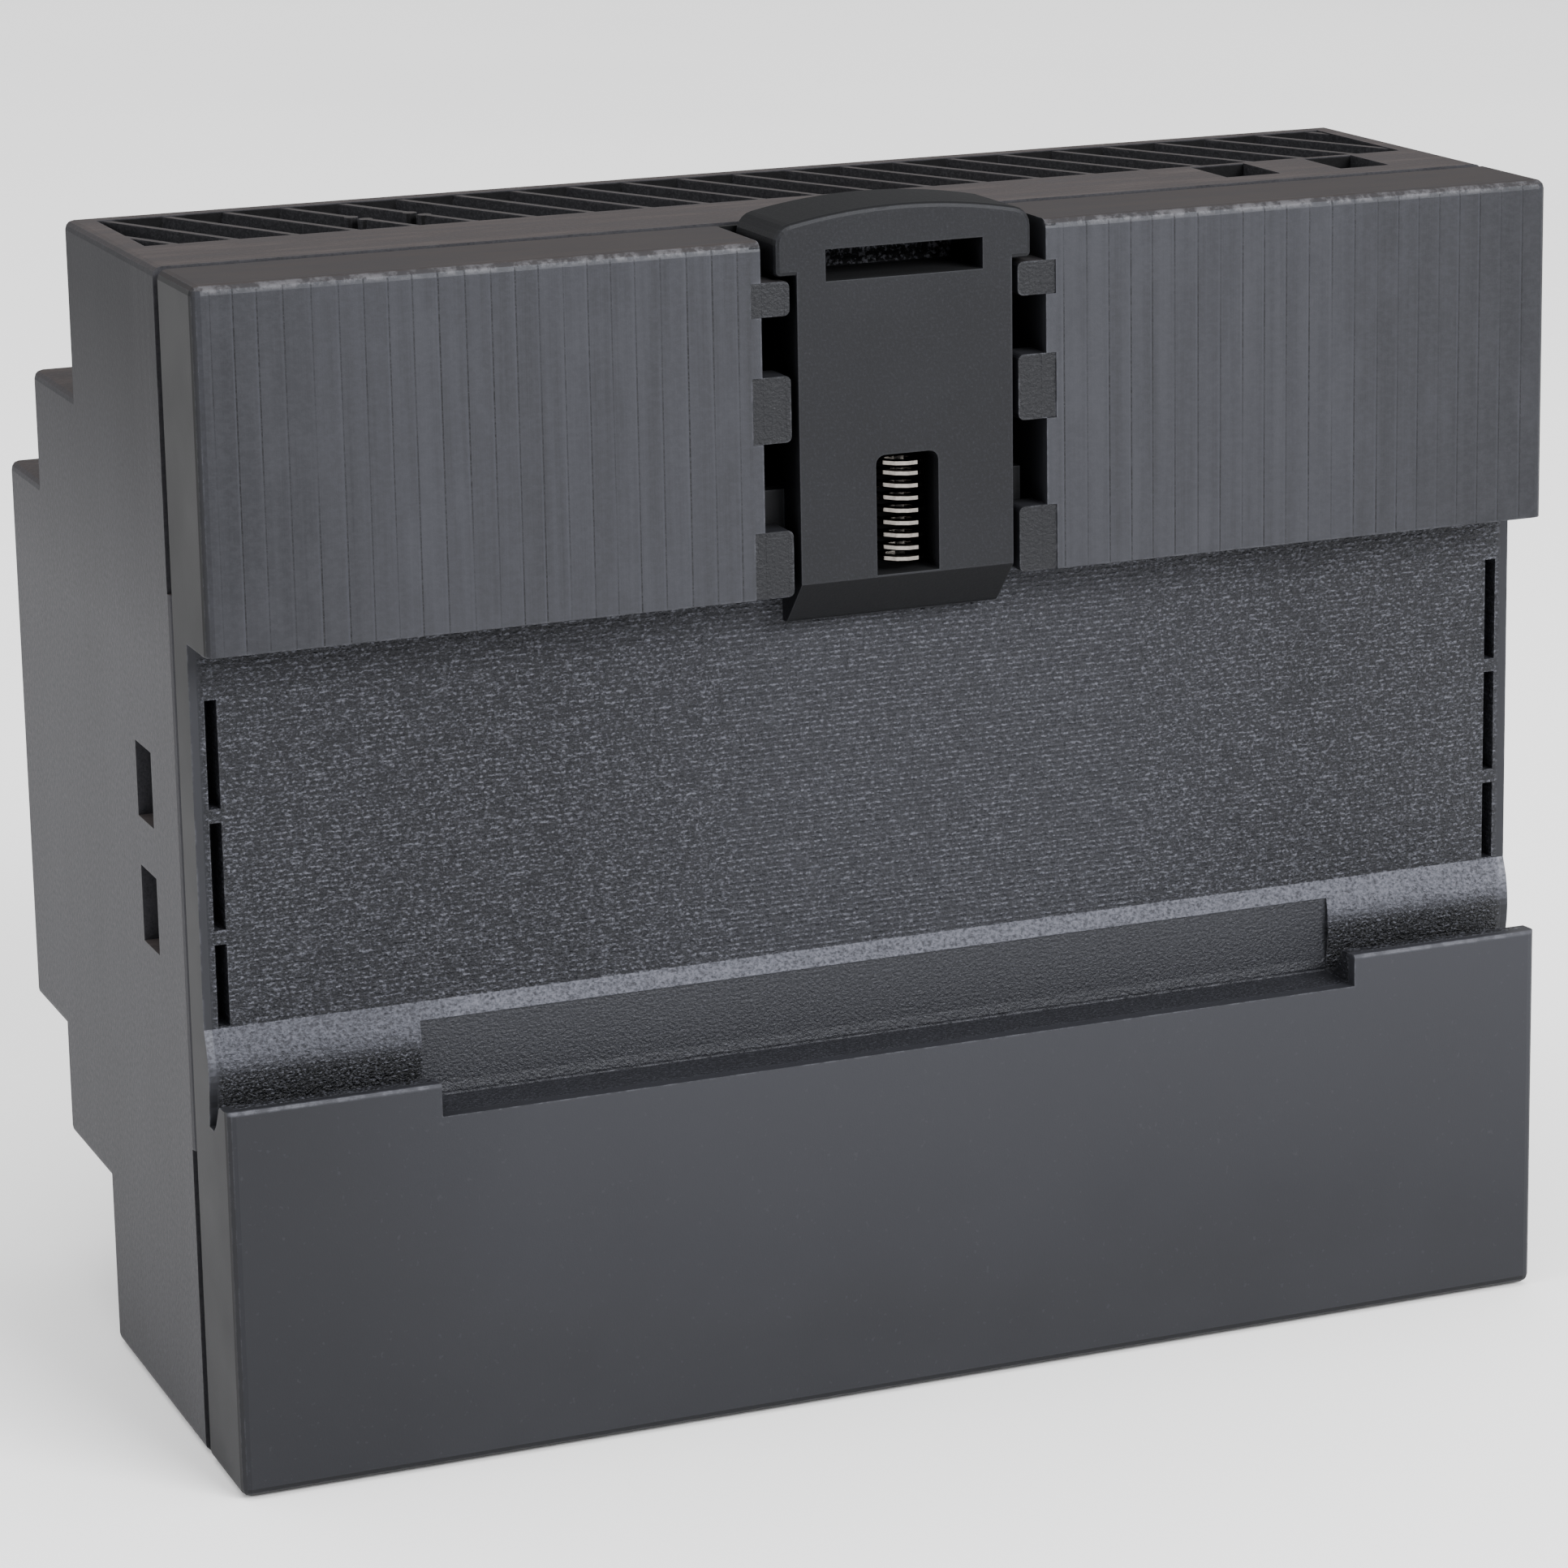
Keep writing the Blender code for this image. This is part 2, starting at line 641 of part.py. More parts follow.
def step_vents():
    """Rows of slots in the flat top and bottom of both steps."""
    rear, middle, front = STEP_DEPTHS
    rows = (
        (rear + STEP_VENT_MARGIN, middle - STEP_VENT_MARGIN - 0.6, STEP_HEIGHTS[0] / 2),
        (middle + STEP_VENT_MARGIN, front - STEP_VENT_MARGIN, STEP_HEIGHTS[1] / 2),
    )
    count = int(2 * VENT_HALF_LENGTH / LOUVRE_PITCH)
    first = -(count - 1) / 2 * LOUVRE_PITCH
    slots = []
    for near, far, half in rows:
        for k in range(count):
            x = first + k * LOUVRE_PITCH
            span = (x - STEP_VENT_WIDTH / 2, x + STEP_VENT_WIDTH / 2)
            for surface in (HEIGHT / 2 + half, HEIGHT / 2 - half):
                slots.append(box("step_vent", span, (near, far), (surface - 2.2, surface + 2.2)))
    return slots


def snap_windows():
    windows = []
    for span in mirrored((WIDTH / 2 - WALL - 1, WIDTH / 2 + 1)):
        for heights in SIDE_WINDOW_HEIGHTS:
            windows.append(box("window", span, SIDE_WINDOW_DEPTHS, heights))
    for span in TOP_WINDOW_SPANS:
        for heights in ((HEIGHT - WALL - 1, HEIGHT + 1), (-1, WALL + 1)):
            windows.append(box("window", span, TOP_WINDOW_DEPTHS, heights))
    return windows


def plug_size(poles):
    return (poles * POLE_PITCH + PLUG_MARGIN, PLUG_HEIGHT)


def plug_openings():
    openings = []
    for centre, poles in (((OUTPUT_X, OUTPUT_Z), OUTPUT_POLES), ((INPUT_X, INPUT_Z), INPUT_POLES)):
        width, height = plug_size(poles)
        size = (width + 0.8, height + 0.8)
        openings.append(box_at("plug_opening", centre, size, (STEP_DEPTHS[0] - 3, STEP_DEPTHS[0] + 1)))
    return openings


def front_openings():
    """The trimmer's and the light pipe's holes, and the shallow recess for the front plate."""
    recess = PLATE_THICKNESS + GAP
    half = PLATE_HALF_WIDTH + GAP
    low, high = PLATE_HEIGHTS
    return [
        rod("trimmer_hole", (TRIMMER_X, TRIMMER_Z), ROTOR_RADIUS + 0.5, (DEPTH - 4, DEPTH + 1)),
        rod("led_hole", (LED_X, LED_Z), LED_RADIUS + GAP, (DEPTH - 4, DEPTH + 1), 20),
        box("plate_recess", (-half, half), (DEPTH - recess, DEPTH + 1), (low - GAP, high + GAP)),
    ]


def front_housing():
    reach = WIDTH / 2
    housing = prism_x("front_housing", stepped_outline(0, HOUSING_RIM), (-reach, reach))
    bevel_edges(housing, CASE_ROUNDING, 3, 50)
    inside = prism_x("inside", stepped_outline(WALL, HOUSING_RIM - 1), (WALL - reach, reach - WALL))
    cut(housing, [inside])
    cut(housing, shadow_gap() + side_bevels())
    cut(housing, vent_openings() + snap_windows() + plug_openings() + front_openings())
    cut(housing, step_vents())
    join(housing, louvres(HEIGHT, -1) + louvres(0, 1))
    return finish_part(housing, "housing_plastic")


# ---------------------------------------------------------------- latch


def head_outline():
    """The latch's head: a shallow arc on top, rounded upper corners and slightly rounded lower ones."""
    foot = 0.4
    centre_z = HEAD_TOP - HEAD_ARC_RADIUS
    corner_x = HEAD_HALF_WIDTH - HEAD_CORNER
    corner_z = centre_z + math.sqrt((HEAD_ARC_RADIUS - HEAD_CORNER) ** 2 - corner_x ** 2)
    lean = math.degrees(math.asin(corner_x / (HEAD_ARC_RADIUS - HEAD_CORNER)))
    right = arc((HEAD_HALF_WIDTH - foot, HEAD_BOTTOM + foot), foot, 270, 360, 3)
    right += arc((corner_x, corner_z), HEAD_CORNER, 0, 90 - lean, 5)
    top = arc((0, centre_z), HEAD_ARC_RADIUS, 90 - lean, 90 + lean, 16)[1:-1]
    left = [(-x, z) for x, z in reversed(right)]
    return right + top + left


def latch_body_outline():
    """The latch's side outline (depth, z): a bevelled tip that catches the rail, and a plain back."""
    return [
        (0, LATCH_BEVEL_TOP), (3.0, LATCH_TIP + 0.2), (3.3, LATCH_TIP), (4.0, LATCH_TIP),
        (4.0, LATCH_BEVEL_TOP - 0.3), (LATCH_THICKNESS, LATCH_BEVEL_TOP + 0.3),
        (LATCH_THICKNESS, HEAD_BOTTOM + 0.6), (0, HEAD_BOTTOM + 0.6),
    ]


def spring_window():
    """The window that shows the spring. Its two upper corners are rounded."""
    half, radius = SPRING_WINDOW_HALF_WIDTH, 0.7
    bottom, top = SPRING_WINDOW_HEIGHTS
    outline = [(-half, bottom), (half, bottom)]
    outline += arc((half - radius, top - radius), radius, 0, 90, 4)
    outline += arc((radius - half, top - radius), radius, 90, 180, 4)
    return slab("window", outline, (-1, LATCH_THICKNESS + 1))


def rail_latch():
    latch = prism_x("rail_latch", latch_body_outline(), (-LATCH_HALF_WIDTH, LATCH_HALF_WIDTH))
    neck_half = LATCH_HALF_WIDTH - 0.5
    flange_depths = (TAB_RECESS + TAB_THICKNESS + GAP, LATCH_THICKNESS - 0.05)
    head = bevel_edges(slab("head", head_outline(), (0, HEAD_DEPTH)), HEAD_ROUNDING, 2)
    additions = [
        head,
        box("neck", (-neck_half, neck_half), (4.2, HEAD_DEPTH - 0.6), (85.3, HEAD_BOTTOM + 0.8)),
    ]
    for heights in FLANGE_HEIGHTS:
        for span in mirrored((neck_half, FLANGE_HALF_WIDTH)):
            additions.append(box("flange", span, flange_depths, heights))
    join(latch, additions)
    cut(latch, [
        spring_window(),
        box("lug_recess", (-2, 2), (1, LATCH_THICKNESS + 1), (SPRING_WINDOW_HEIGHTS[1] - 0.5, 80.4)),
        box("keyhole", (-KEYHOLE_HALF_WIDTH, KEYHOLE_HALF_WIDTH), (-1, KEYHOLE_DEPTH), KEYHOLE_HEIGHTS),
    ])
    return finish_part(latch, "latch_plastic")


def latch_spring():
    """A compression spring: close turns at both ends and open ones between."""
    bottom = SPRING_WINDOW_HEIGHTS[0] + GAP + SPRING_WIRE
    top = LUG_HEIGHTS[0] - GAP - SPRING_WIRE
    steps = 14
    close = 2.3 * SPRING_WIRE
    open_turns = SPRING_TURNS - 2
    open_pitch = (top - bottom - 2 * close) / open_turns
    shape = bmesh.new()
    rings = []
    for k in range(SPRING_TURNS * steps + 1):
        turn = k / steps
        rise = close * min(turn, 1) + open_pitch * min(max(turn - 1, 0), open_turns)
        rise += close * max(turn - 1 - open_turns, 0)
        angle = math.tau * turn + math.radians(SPRING_START)
        ring = []
        for across, up in circle((SPRING_RADIUS, bottom + rise), SPRING_WIRE, 6):
            spot = place(across * math.cos(angle), SPRING_DEPTH + across * math.sin(angle), up)
            ring.append(shape.verts.new(spot))
        rings.append(ring)
    for near, far in zip(rings, rings[1:]):
        for k in range(6):
            shape.faces.new((near[k], near[(k + 1) % 6], far[(k + 1) % 6], far[k]))
    shape.faces.new(rings[0])
    shape.faces.new(rings[-1])
    spring = new_object("latch_spring", shape)
    move_origin(spring, place(0, SPRING_DEPTH, LUG_HEIGHTS[0] - GAP))
    return finish_part(spring, "spring_steel")


# ---------------------------------------------------------------- front face


def front_plate():
    low, high = PLATE_HEIGHTS
    depths = (DEPTH - PLATE_THICKNESS, DEPTH)
    plate = box("front_plate", (-PLATE_HALF_WIDTH, PLATE_HALF_WIDTH), depths, (low, high))
    cut(plate, [
        rod("hole", (TRIMMER_X, TRIMMER_Z), ROTOR_RADIUS + 0.5, (DEPTH - 2, DEPTH + 1)),
        rod("hole", (LED_X, LED_Z), LED_RADIUS + GAP, (DEPTH - 2, DEPTH + 1), 20),
    ])
    return finish_part(plate, "plate_film")


def light_pipe():
    inner = DEPTH - WALL - GAP
    rear = inner - 1.5
    profile = [(0, rear), (LED_RADIUS + 0.9, rear), (LED_RADIUS + 0.9, inner), (LED_RADIUS, inner),
               (LED_RADIUS, DEPTH - 0.4), (LED_RADIUS - 0.4, DEPTH - 0.1), (0, DEPTH)]
    return finish_part(turned("light_pipe", (LED_X, LED_Z), profile, 20), "clear_plastic")


def status_led():
    front = DEPTH - WALL - GAP - 1.5 - GAP
    rear = CONTROL_BOARD_END + GAP
    profile = [(0, rear), (1.9, rear), (1.9, rear + 0.8), (1.5, rear + 0.8), (1.5, front - 1.2),
               (1.1, front - 0.4), (0, front)]
    return finish_part(turned("status_led", (LED_X, LED_Z), profile, 16), "led_green")


def trimmer():
    """The output trimmer: a square body on the control board's end, and its slotted rotor."""
    rear = CONTROL_BOARD_END + GAP
    body_end = rear + 4.4
    size = (TRIMMER_SIZE, TRIMMER_SIZE)
    body = bevel_edges(box_at("trimmer_body", (TRIMMER_X, TRIMMER_Z), size, (rear, body_end)), 0.3, 1)
    finish_part(body, "trimmer_blue")
    front = DEPTH - 0.6
    start = body_end + GAP
    profile = [(0, start), (ROTOR_RADIUS, start), (ROTOR_RADIUS, front - 0.3)]
    profile += [(ROTOR_RADIUS - 0.3, front), (0, front)]
    rotor = turned("trimmer_rotor", (TRIMMER_X, TRIMMER_Z), profile)
    slot = box_at("slot", (TRIMMER_X, TRIMMER_Z), (4.4, 0.8), (front - 1.1, front + 1))
    cross = box_at("cross", (TRIMMER_X, TRIMMER_Z), (0.8, 4.4), (front - 1.1, front + 1))
    cut(rotor, [slot, cross])
    move_origin(rotor, place(TRIMMER_X, start, TRIMMER_Z))
    return finish_part(rotor, "rotor_white")


def move_origin(part, spot):
    """Puts the part's origin on its axis and leaves its shape where it is."""
    part.data.transform(Matrix.Translation(-spot))
    part.location = spot


# ---------------------------------------------------------------- terminals


def pole_positions(centre_x, poles):
    first = centre_x - (poles - 1) / 2 * POLE_PITCH
    return [first + k * POLE_PITCH for k in range(poles)]


def plug(name, centre, poles):
    """A plug-in terminal: wire holes with release slots in front, clamp chambers, and pin holes behind."""
    x, z = centre
    front = STEP_DEPTHS[0]
    part = box_at(name, centre, plug_size(poles), (PLUG_REAR, front))
    low = z - 1.1
    tools = []
    for pole_x in pole_positions(x, poles):
        tools.append(rod("wire_hole", (pole_x, low), WIRE_HOLE_RADIUS, (CLAMP_DEPTHS[1], front + 1), 16))
        tools.append(box_at("release_slot", (pole_x, z + 2.2), (2.6, 1.0), (front - 5, front + 1)))
        chamber = CLAMP_SIZE + 2 * GAP
        depths = (CLAMP_DEPTHS[0] - GAP, CLAMP_DEPTHS[1] + GAP)
        tools.append(box_at("chamber", (pole_x, low), (chamber, chamber), depths))
        tools.append(box_at("pin_hole", (pole_x, low), (1.6, 1.6), (PLUG_REAR - 1, CLAMP_DEPTHS[0])))
    cut(part, tools)
    return finish_part(part, "terminal_plastic")


def clamps(name, centre, poles):
    """One spring clamp in each chamber: a short square sleeve."""
    x, z = centre
    for index, pole_x in enumerate(pole_positions(x, poles), start=1):
        spot = (pole_x, z - 1.1)
        sleeve = box_at(f"{name}_{index}", spot, (CLAMP_SIZE, CLAMP_SIZE), CLAMP_DEPTHS)
        bore = CLAMP_SIZE - 2 * CLAMP_WALL
        cut(sleeve, [box_at("bore", spot, (bore, bore), (CLAMP_DEPTHS[0] - 1, CLAMP_DEPTHS[1] + 1))])
        finish_part(sleeve, "tinned_copper")


def header(name, centre, poles):
    """The board's side of a terminal: a shroud round the plug, with a pin for each pole."""
    x, z = centre
    width, height = plug_size(poles)
    outer = (width + 2 * (GAP + SHROUD_WALL), height + 2 * (GAP + SHROUD_WALL))
    inner = (width + 2 * GAP, height + 2 * GAP)
    end = STEP_DEPTHS[0] - WALL - GAP
    part = box_at(name, centre, outer, (SEAT, end))
    cut(part, [box_at("socket", centre, inner, (PLUG_REAR - GAP, end + 1))])
    pins = [box_at("pin", (pole_x, z - 1.1), (1.0, 1.0), (PLUG_REAR - 2, CLAMP_DEPTHS[0] - 0.6))
            for pole_x in pole_positions(x, poles)]
    join(part, pins)
    return finish_part(part, "header_plastic")


# ---------------------------------------------------------------- boards


def boss_holes(radius, depths):
    return [rod("hole", spot, radius, depths, 20) for spot in BOSS_PLACES]


def main_board():
    depths = (BOARD_DEPTH, BOARD_DEPTH + BOARD_THICKNESS)
    board = box("main_board", (-BOARD_HALF_WIDTH, BOARD_HALF_WIDTH), depths, BOARD_HEIGHTS)
    cut(board, boss_holes(SCREW_RADIUS + GAP, (depths[0] - 1, depths[1] + 1)))
    return finish_part(board, "board_laminate")


def insulating_sheet():
    low, high = BOARD_HEIGHTS
    front = BOARD_DEPTH - 0.9
    depths = (front - 0.4, front)
    reach = BOARD_HALF_WIDTH - 1
    sheet = box("insulating_sheet", (-reach, reach), depths, (low + 1, high - 1))
    cut(sheet, boss_holes(BOSS_RADIUS + 0.4, (depths[0] - 1, depths[1] + 1)))
    return finish_part(sheet, "insulating_film")


def control_board():
    half = CONTROL_BOARD_THICKNESS / 2
    span = (CONTROL_BOARD_X - half, CONTROL_BOARD_X + half)
    board = box("control_board", span, (SEAT, CONTROL_BOARD_END), CONTROL_BOARD_HEIGHTS)
    return finish_part(board, "board_laminate")


def board_screws():
    for index, spot in enumerate(BOSS_PLACES, start=1):
        tip = BOARD_DEPTH - 6.5
        head_end = SEAT + 1.9
        profile = [(0, tip), (SCREW_RADIUS, tip + 0.8), (SCREW_RADIUS, SEAT), (SCREW_HEAD_RADIUS, SEAT),
                   (SCREW_HEAD_RADIUS, SEAT + 0.7), (SCREW_HEAD_RADIUS * 0.7, SEAT + 1.6), (0, head_end)]
        screw = turned(f"board_screw_{index}", spot, profile, 16)
        depths = (head_end - 1.1, head_end + 1)
        cut(screw, [box_at("recess", spot, size, depths) for size in ((2.4, 0.6), (0.6, 2.4))])
        finish_part(screw, "zinc_steel")


# ---------------------------------------------------------------- electronics


def capacitor(name, centre, size):
    """A round capacitor: a groove near the board and a rounded top rim."""
    radius, height = size
    top = SEAT + height
    profile = [(0, SEAT), (radius - 0.4, SEAT), (radius, SEAT + 0.5), (radius, SEAT + 1.8),
               (radius - 0.5, SEAT + 2.3), (radius, SEAT + 2.8), (radius, top - 0.8),
               (radius - 0.3, top - 0.2), (radius - 1.0, top), (radius - 1.3, top - 0.3), (0, top - 0.3)]
    return finish_part(turned(name, centre, profile, CAPACITOR_SIDES), "capacitor_sleeve")


def disc(name, centre, radius, thickness, slot):
    """A disc-shaped component standing on its edge, facing along X."""
    x, z = centre
    middle = SEAT + 0.4 + radius
    turns = [math.tau * (k + 0.5) / 20 for k in range(20)]
    outline = [(middle + radius * math.cos(turn), z + radius * math.sin(turn)) for turn in turns]
    part = prism_x(name, outline, (x - thickness / 2, x + thickness / 2))
    return finish_part(bevel_edges(part, 0.8), slot)


def block(name, centre, size, height, slot, rounding=0.4):
    part = box_at(name, centre, size, (SEAT, SEAT + height))
    return finish_part(bevel_edges(part, rounding, 1), slot)


def toroid(name, centre, size):
    inner, outer, thickness = size
    rear = SEAT + 0.4 + WINDING_THICKNESS + GAP
    section = [(inner, rear), (outer, rear), (outer, rear + thickness), (inner, rear + thickness)]
    return finish_part(ring_segment(name, centre, section, 0, 360, 32), "ferrite")


def toroid_winding(name, centre, size, start, sweep):
    """Turns of wire round part of a ring: a ribbed sleeve with the ring's section as its hole."""
    inner, outer, thickness = size
    x, z = centre
    rear = SEAT + 0.4 + WINDING_THICKNESS + GAP
    turns = max(6, int(sweep / 15))
    steps = turns * 2
    shape = bmesh.new()
    rows = []
    for step in range(steps + 1):
        turn = math.radians(start + sweep * step / steps)
        grown = WINDING_THICKNESS * (1.0 if step % 2 else 0.65)
        row = []
        for reach in (GAP, GAP + grown):
            near, far = rear - reach, rear + thickness + reach
            for radius, depth in ((inner - reach, near), (outer + reach, near),
                                  (outer + reach, far), (inner - reach, far)):
                across, up = radius * math.cos(turn), radius * math.sin(turn)
                row.append(shape.verts.new(place(x + across, depth, z + up)))
        rows.append(row)
    for near, far in zip(rows, rows[1:]):
        for ring in (0, 4):
            for k in range(4):
                a, b = ring + k, ring + (k + 1) % 4
                shape.faces.new((near[a], near[b], far[b], far[a]))
    for row in (rows[0], rows[-1]):
        for k in range(4):
            a, b = k, (k + 1) % 4
            shape.faces.new((row[a], row[b], row[b + 4], row[a + 4]))
    return finish_part(new_object(name, shape), "enamelled_wire")


def heatsink(name, x_range, z, height):
    """An upright plate with a folded foot."""
    left, right = x_range
    plate = box(name, x_range, (SEAT, SEAT + height), (z - 1, z + 1))
    depths = (SEAT + height - 2, SEAT + height - 0.1)
    join(plate, [box("foot", (left + 1, right - 1), depths, (z - 0.5, z + 5))])
    return finish_part(bevel_edges(plate, 0.25, 1), "aluminium")


def power_package(name, x, face_z, towards):
    """A screwed-on power device: a metal tab and a thicker moulded body, standing against a heatsink."""
    near = face_z + towards * GAP
    body_far = near + towards * 4.4
    tab_far = near + towards * 1.3
    body = box(name, (x - 5, x + 5), (SEAT + 4, SEAT + 13), (min(near, body_far), max(near, body_far)))
    heights = (min(near, tab_far) + 0.02, max(near, tab_far) - 0.02)
    tab = box("tab", (x - 4.9, x + 4.9), (SEAT + 12, SEAT + 18.5), heights)
    join(body, [tab])
    return finish_part(body, "chip_epoxy")


def transformer():
    """Two E-shaped core halves, a flanged bobbin on their centre leg, and its winding."""
    x, z = TRANSFORMER
    half_width = CORE_WIDTH / 2
    rear = SEAT + 1.2
    middle = rear + CORE_HEIGHT / 2
    front = rear + CORE_HEIGHT
    thickness = (z - CORE_THICKNESS / 2, z + CORE_THICKNESS / 2)
    for name, back, meet in (("transformer_core_rear", rear, middle - GAP / 2),
                             ("transformer_core_front", front, middle + GAP / 2)):
        inner = back + CORE_LEG * (1 if meet > back else -1)
        outline = [
            (x - half_width, back), (x - half_width, meet), (x - half_width + CORE_LEG, meet),
            (x - half_width + CORE_LEG, inner), (x - CORE_LEG, inner), (x - CORE_LEG, meet),
            (x + CORE_LEG, meet), (x + CORE_LEG, inner), (x + half_width - CORE_LEG, inner),
            (x + half_width - CORE_LEG, meet), (x + half_width, meet), (x + half_width, back),
        ]
        finish_part(prism_z(name, outline, thickness), "ferrite")
    window = (rear + CORE_LEG + GAP, front - CORE_LEG - GAP)
    tube = (2 * CORE_LEG + 2 * GAP + 2, CORE_THICKNESS + 2 * GAP + 2)
    flange = (CORE_WIDTH - 2 * CORE_LEG - 2 * GAP, CORE_THICKNESS + 10)
    bobbin = box_at("transformer_bobbin", (x, z), tube, window)
    ends = [box_at("flange", (x, z), flange, (window[0], window[0] + 1)),
            box_at("flange", (x, z), flange, (window[1] - 1, window[1]))]
    join(bobbin, ends)
    hole = (2 * CORE_LEG + 2 * GAP, CORE_THICKNESS + 2 * GAP)
    cut(bobbin, [box_at("hole", (x, z), hole, (window[0] - 1, window[1] + 1))])
    finish_part(bobbin, "bobbin_plastic")
    depths = (window[0] + 1 + GAP, window[1] - 1 - GAP)
    size = (flange[0] - 0.8, flange[1] - 1.4)
    winding = bevel_edges(box_at("transformer_winding", (x, z), size, depths), 1.2)
    hole = (tube[0] + 2 * GAP, tube[1] + 2 * GAP)
    core_hole = box_at("hole", (x, z), hole, (depths[0] - 1, depths[1] + 1))
    cut(winding, [core_hole])
    finish_part(winding, "winding_tape")


def control_parts():
    """The controller chip on the control board, and the optocoupler beside the transformer."""
    face = CONTROL_BOARD_X - CONTROL_BOARD_THICKNESS / 2 - GAP
    chip = box("controller_chip", (face - 1.5, face), (30, 35), (53, 57))
    finish_part(bevel_edges(chip, 0.2, 1), "chip_epoxy")
    block("optocoupler", (2, 34), (6.4, 4.6), 3.6, "chip_epoxy", 0.3)


def input_filter():
    block("fuse", (20, 19), (8.4, 4.2), 7.6, "fuse_body")
    disc("varistor", (10, 20), 6.0, 4.5, "varistor_blue")
    disc("inrush_thermistor", (1, 20), 5.0, 4.0, "thermistor_black")
    block("x_capacitor", (37, 22), (18, 10), 15, "film_yellow", 0.6)
    disc("y_capacitor_1", (42, 47), 3.6, 3.4, "ceramic_blue")
    disc("y_capacitor_2", (36, 47), 3.6, 3.4, "ceramic_blue")
    block("bridge_rectifier", (42.5, 35), (11.5, 3.8), 14, "chip_epoxy")
    toroid("input_choke_core", INPUT_CHOKE, INPUT_CHOKE_SIZE)
    toroid_winding("input_choke_winding_left", INPUT_CHOKE, INPUT_CHOKE_SIZE, 105, 150)
    toroid_winding("input_choke_winding_right", INPUT_CHOKE, INPUT_CHOKE_SIZE, -75, 150)


def power_stage():
    for index, centre in enumerate(INPUT_CAPACITORS, start=1):
        capacitor(f"input_capacitor_{index}", centre, INPUT_CAPACITOR_SIZE)
    heatsink("primary_heatsink", (-46, -18), 38, 24)
    power_package("primary_switch", -31, 39, 1)
    transformer()
    heatsink("secondary_heatsink", (20, 46), 55, 24)
    power_package("output_diode", 27, 54, -1)
    toroid("output_choke_core", OUTPUT_CHOKE, OUTPUT_CHOKE_SIZE)
    toroid_winding("output_choke_winding", OUTPUT_CHOKE, OUTPUT_CHOKE_SIZE, 20, 320)
    for index, centre in enumerate(OUTPUT_CAPACITORS, start=1):
        capacitor(f"output_capacitor_{index}", centre, OUTPUT_CAPACITOR_SIZE)


def build():
    clear_scene()
    rear_base()
    front_housing()
    rail_latch()
    latch_spring()
    front_plate()
    light_pipe()
    status_led()
    trimmer()
    terminals = (("output", (OUTPUT_X, OUTPUT_Z), OUTPUT_POLES), ("input", (INPUT_X, INPUT_Z), INPUT_POLES))
    for name, centre, poles in terminals:
        plug(f"{name}_plug", centre, poles)
        clamps(f"{name}_clamp", centre, poles)
        header(f"{name}_header", centre, poles)
    main_board()
    insulating_sheet()
    control_board()
    board_screws()
    input_filter()
    power_stage()
    control_parts()


build()
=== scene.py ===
"""DIN rail power supply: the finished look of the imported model, its floor, lights and camera."""

import json
import math

import bpy
from mathutils import Euler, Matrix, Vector


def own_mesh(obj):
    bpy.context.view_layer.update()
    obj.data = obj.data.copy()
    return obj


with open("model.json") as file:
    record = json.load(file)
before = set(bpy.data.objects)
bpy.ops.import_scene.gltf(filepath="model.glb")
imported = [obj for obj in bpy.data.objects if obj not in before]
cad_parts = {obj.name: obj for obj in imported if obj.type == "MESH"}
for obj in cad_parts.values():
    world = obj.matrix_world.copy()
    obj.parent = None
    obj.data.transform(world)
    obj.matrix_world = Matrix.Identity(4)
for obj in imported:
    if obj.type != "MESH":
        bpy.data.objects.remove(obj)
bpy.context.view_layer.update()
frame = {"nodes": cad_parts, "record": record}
NODES = frame["nodes"]
MM = 0.001

# Where the zones of the rear base, the housing and the latch lie, in millimetres. Heights are above the
# underside, depths run forward from the rear face, and half widths are from the middle plane.
MIDDLE_DEPTH = 30.15
HALF_WIDTH = 54.0
HALF_HEIGHT = 45.0
BLOCK_LOW, BLOCK_HIGH = 63.45, 90.2
CHANNEL_LOW, CHANNEL_HIGH = 27.0, 63.3
CHANNEL_FLOOR_LOW = 34.5
SLOPE_LOW, SLOPE_HIGH = 30.5, 35.0
HOLLOW_TOP = 31.2
LOWER_TOP = 29.875
BLOCK_RIM_LOW, BLOCK_RIM_HIGH = 89.45, 90.1
LOWER_RIM_LOW, LOWER_RIM_HIGH = 29.45, 29.85
REST_HALF_WIDTH, REST_TOP = 37.7, 33.15
TAB_INNER, TAB_OUTER, TAB_DEPTH = 9.0, 12.22, 0.1
POCKET_HALF_WIDTH = 11.415
BASE_END_DEPTH = 8.73
HOUSING_START_DEPTH = 9.39
CUTTER_PASS = 1.87
SCAN_PITCH = 0.405
LINED_MIDDLE, LINED_HALF_WIDTH = -4.5, 17.0
LOUVRE_WELL_DEPTHS = (12.5, 34.4)
LOUVRE_WELL_FROM_MIDDLE = (15.0, 44.93)
LATCH_SLOT_HEIGHTS = (86.6, 89.1)
LATCH_INSIDE_LOW = 64.4

# The colour of the plastics' reflections, and of the spring's painted highlight where light falls on it.
COOL = (0.93, 0.95, 1.0)
WIRE_PAINTED_HIGHLIGHT = (0.62, 0.57, 0.52)


# ---------------------------------------------------------------- node helpers


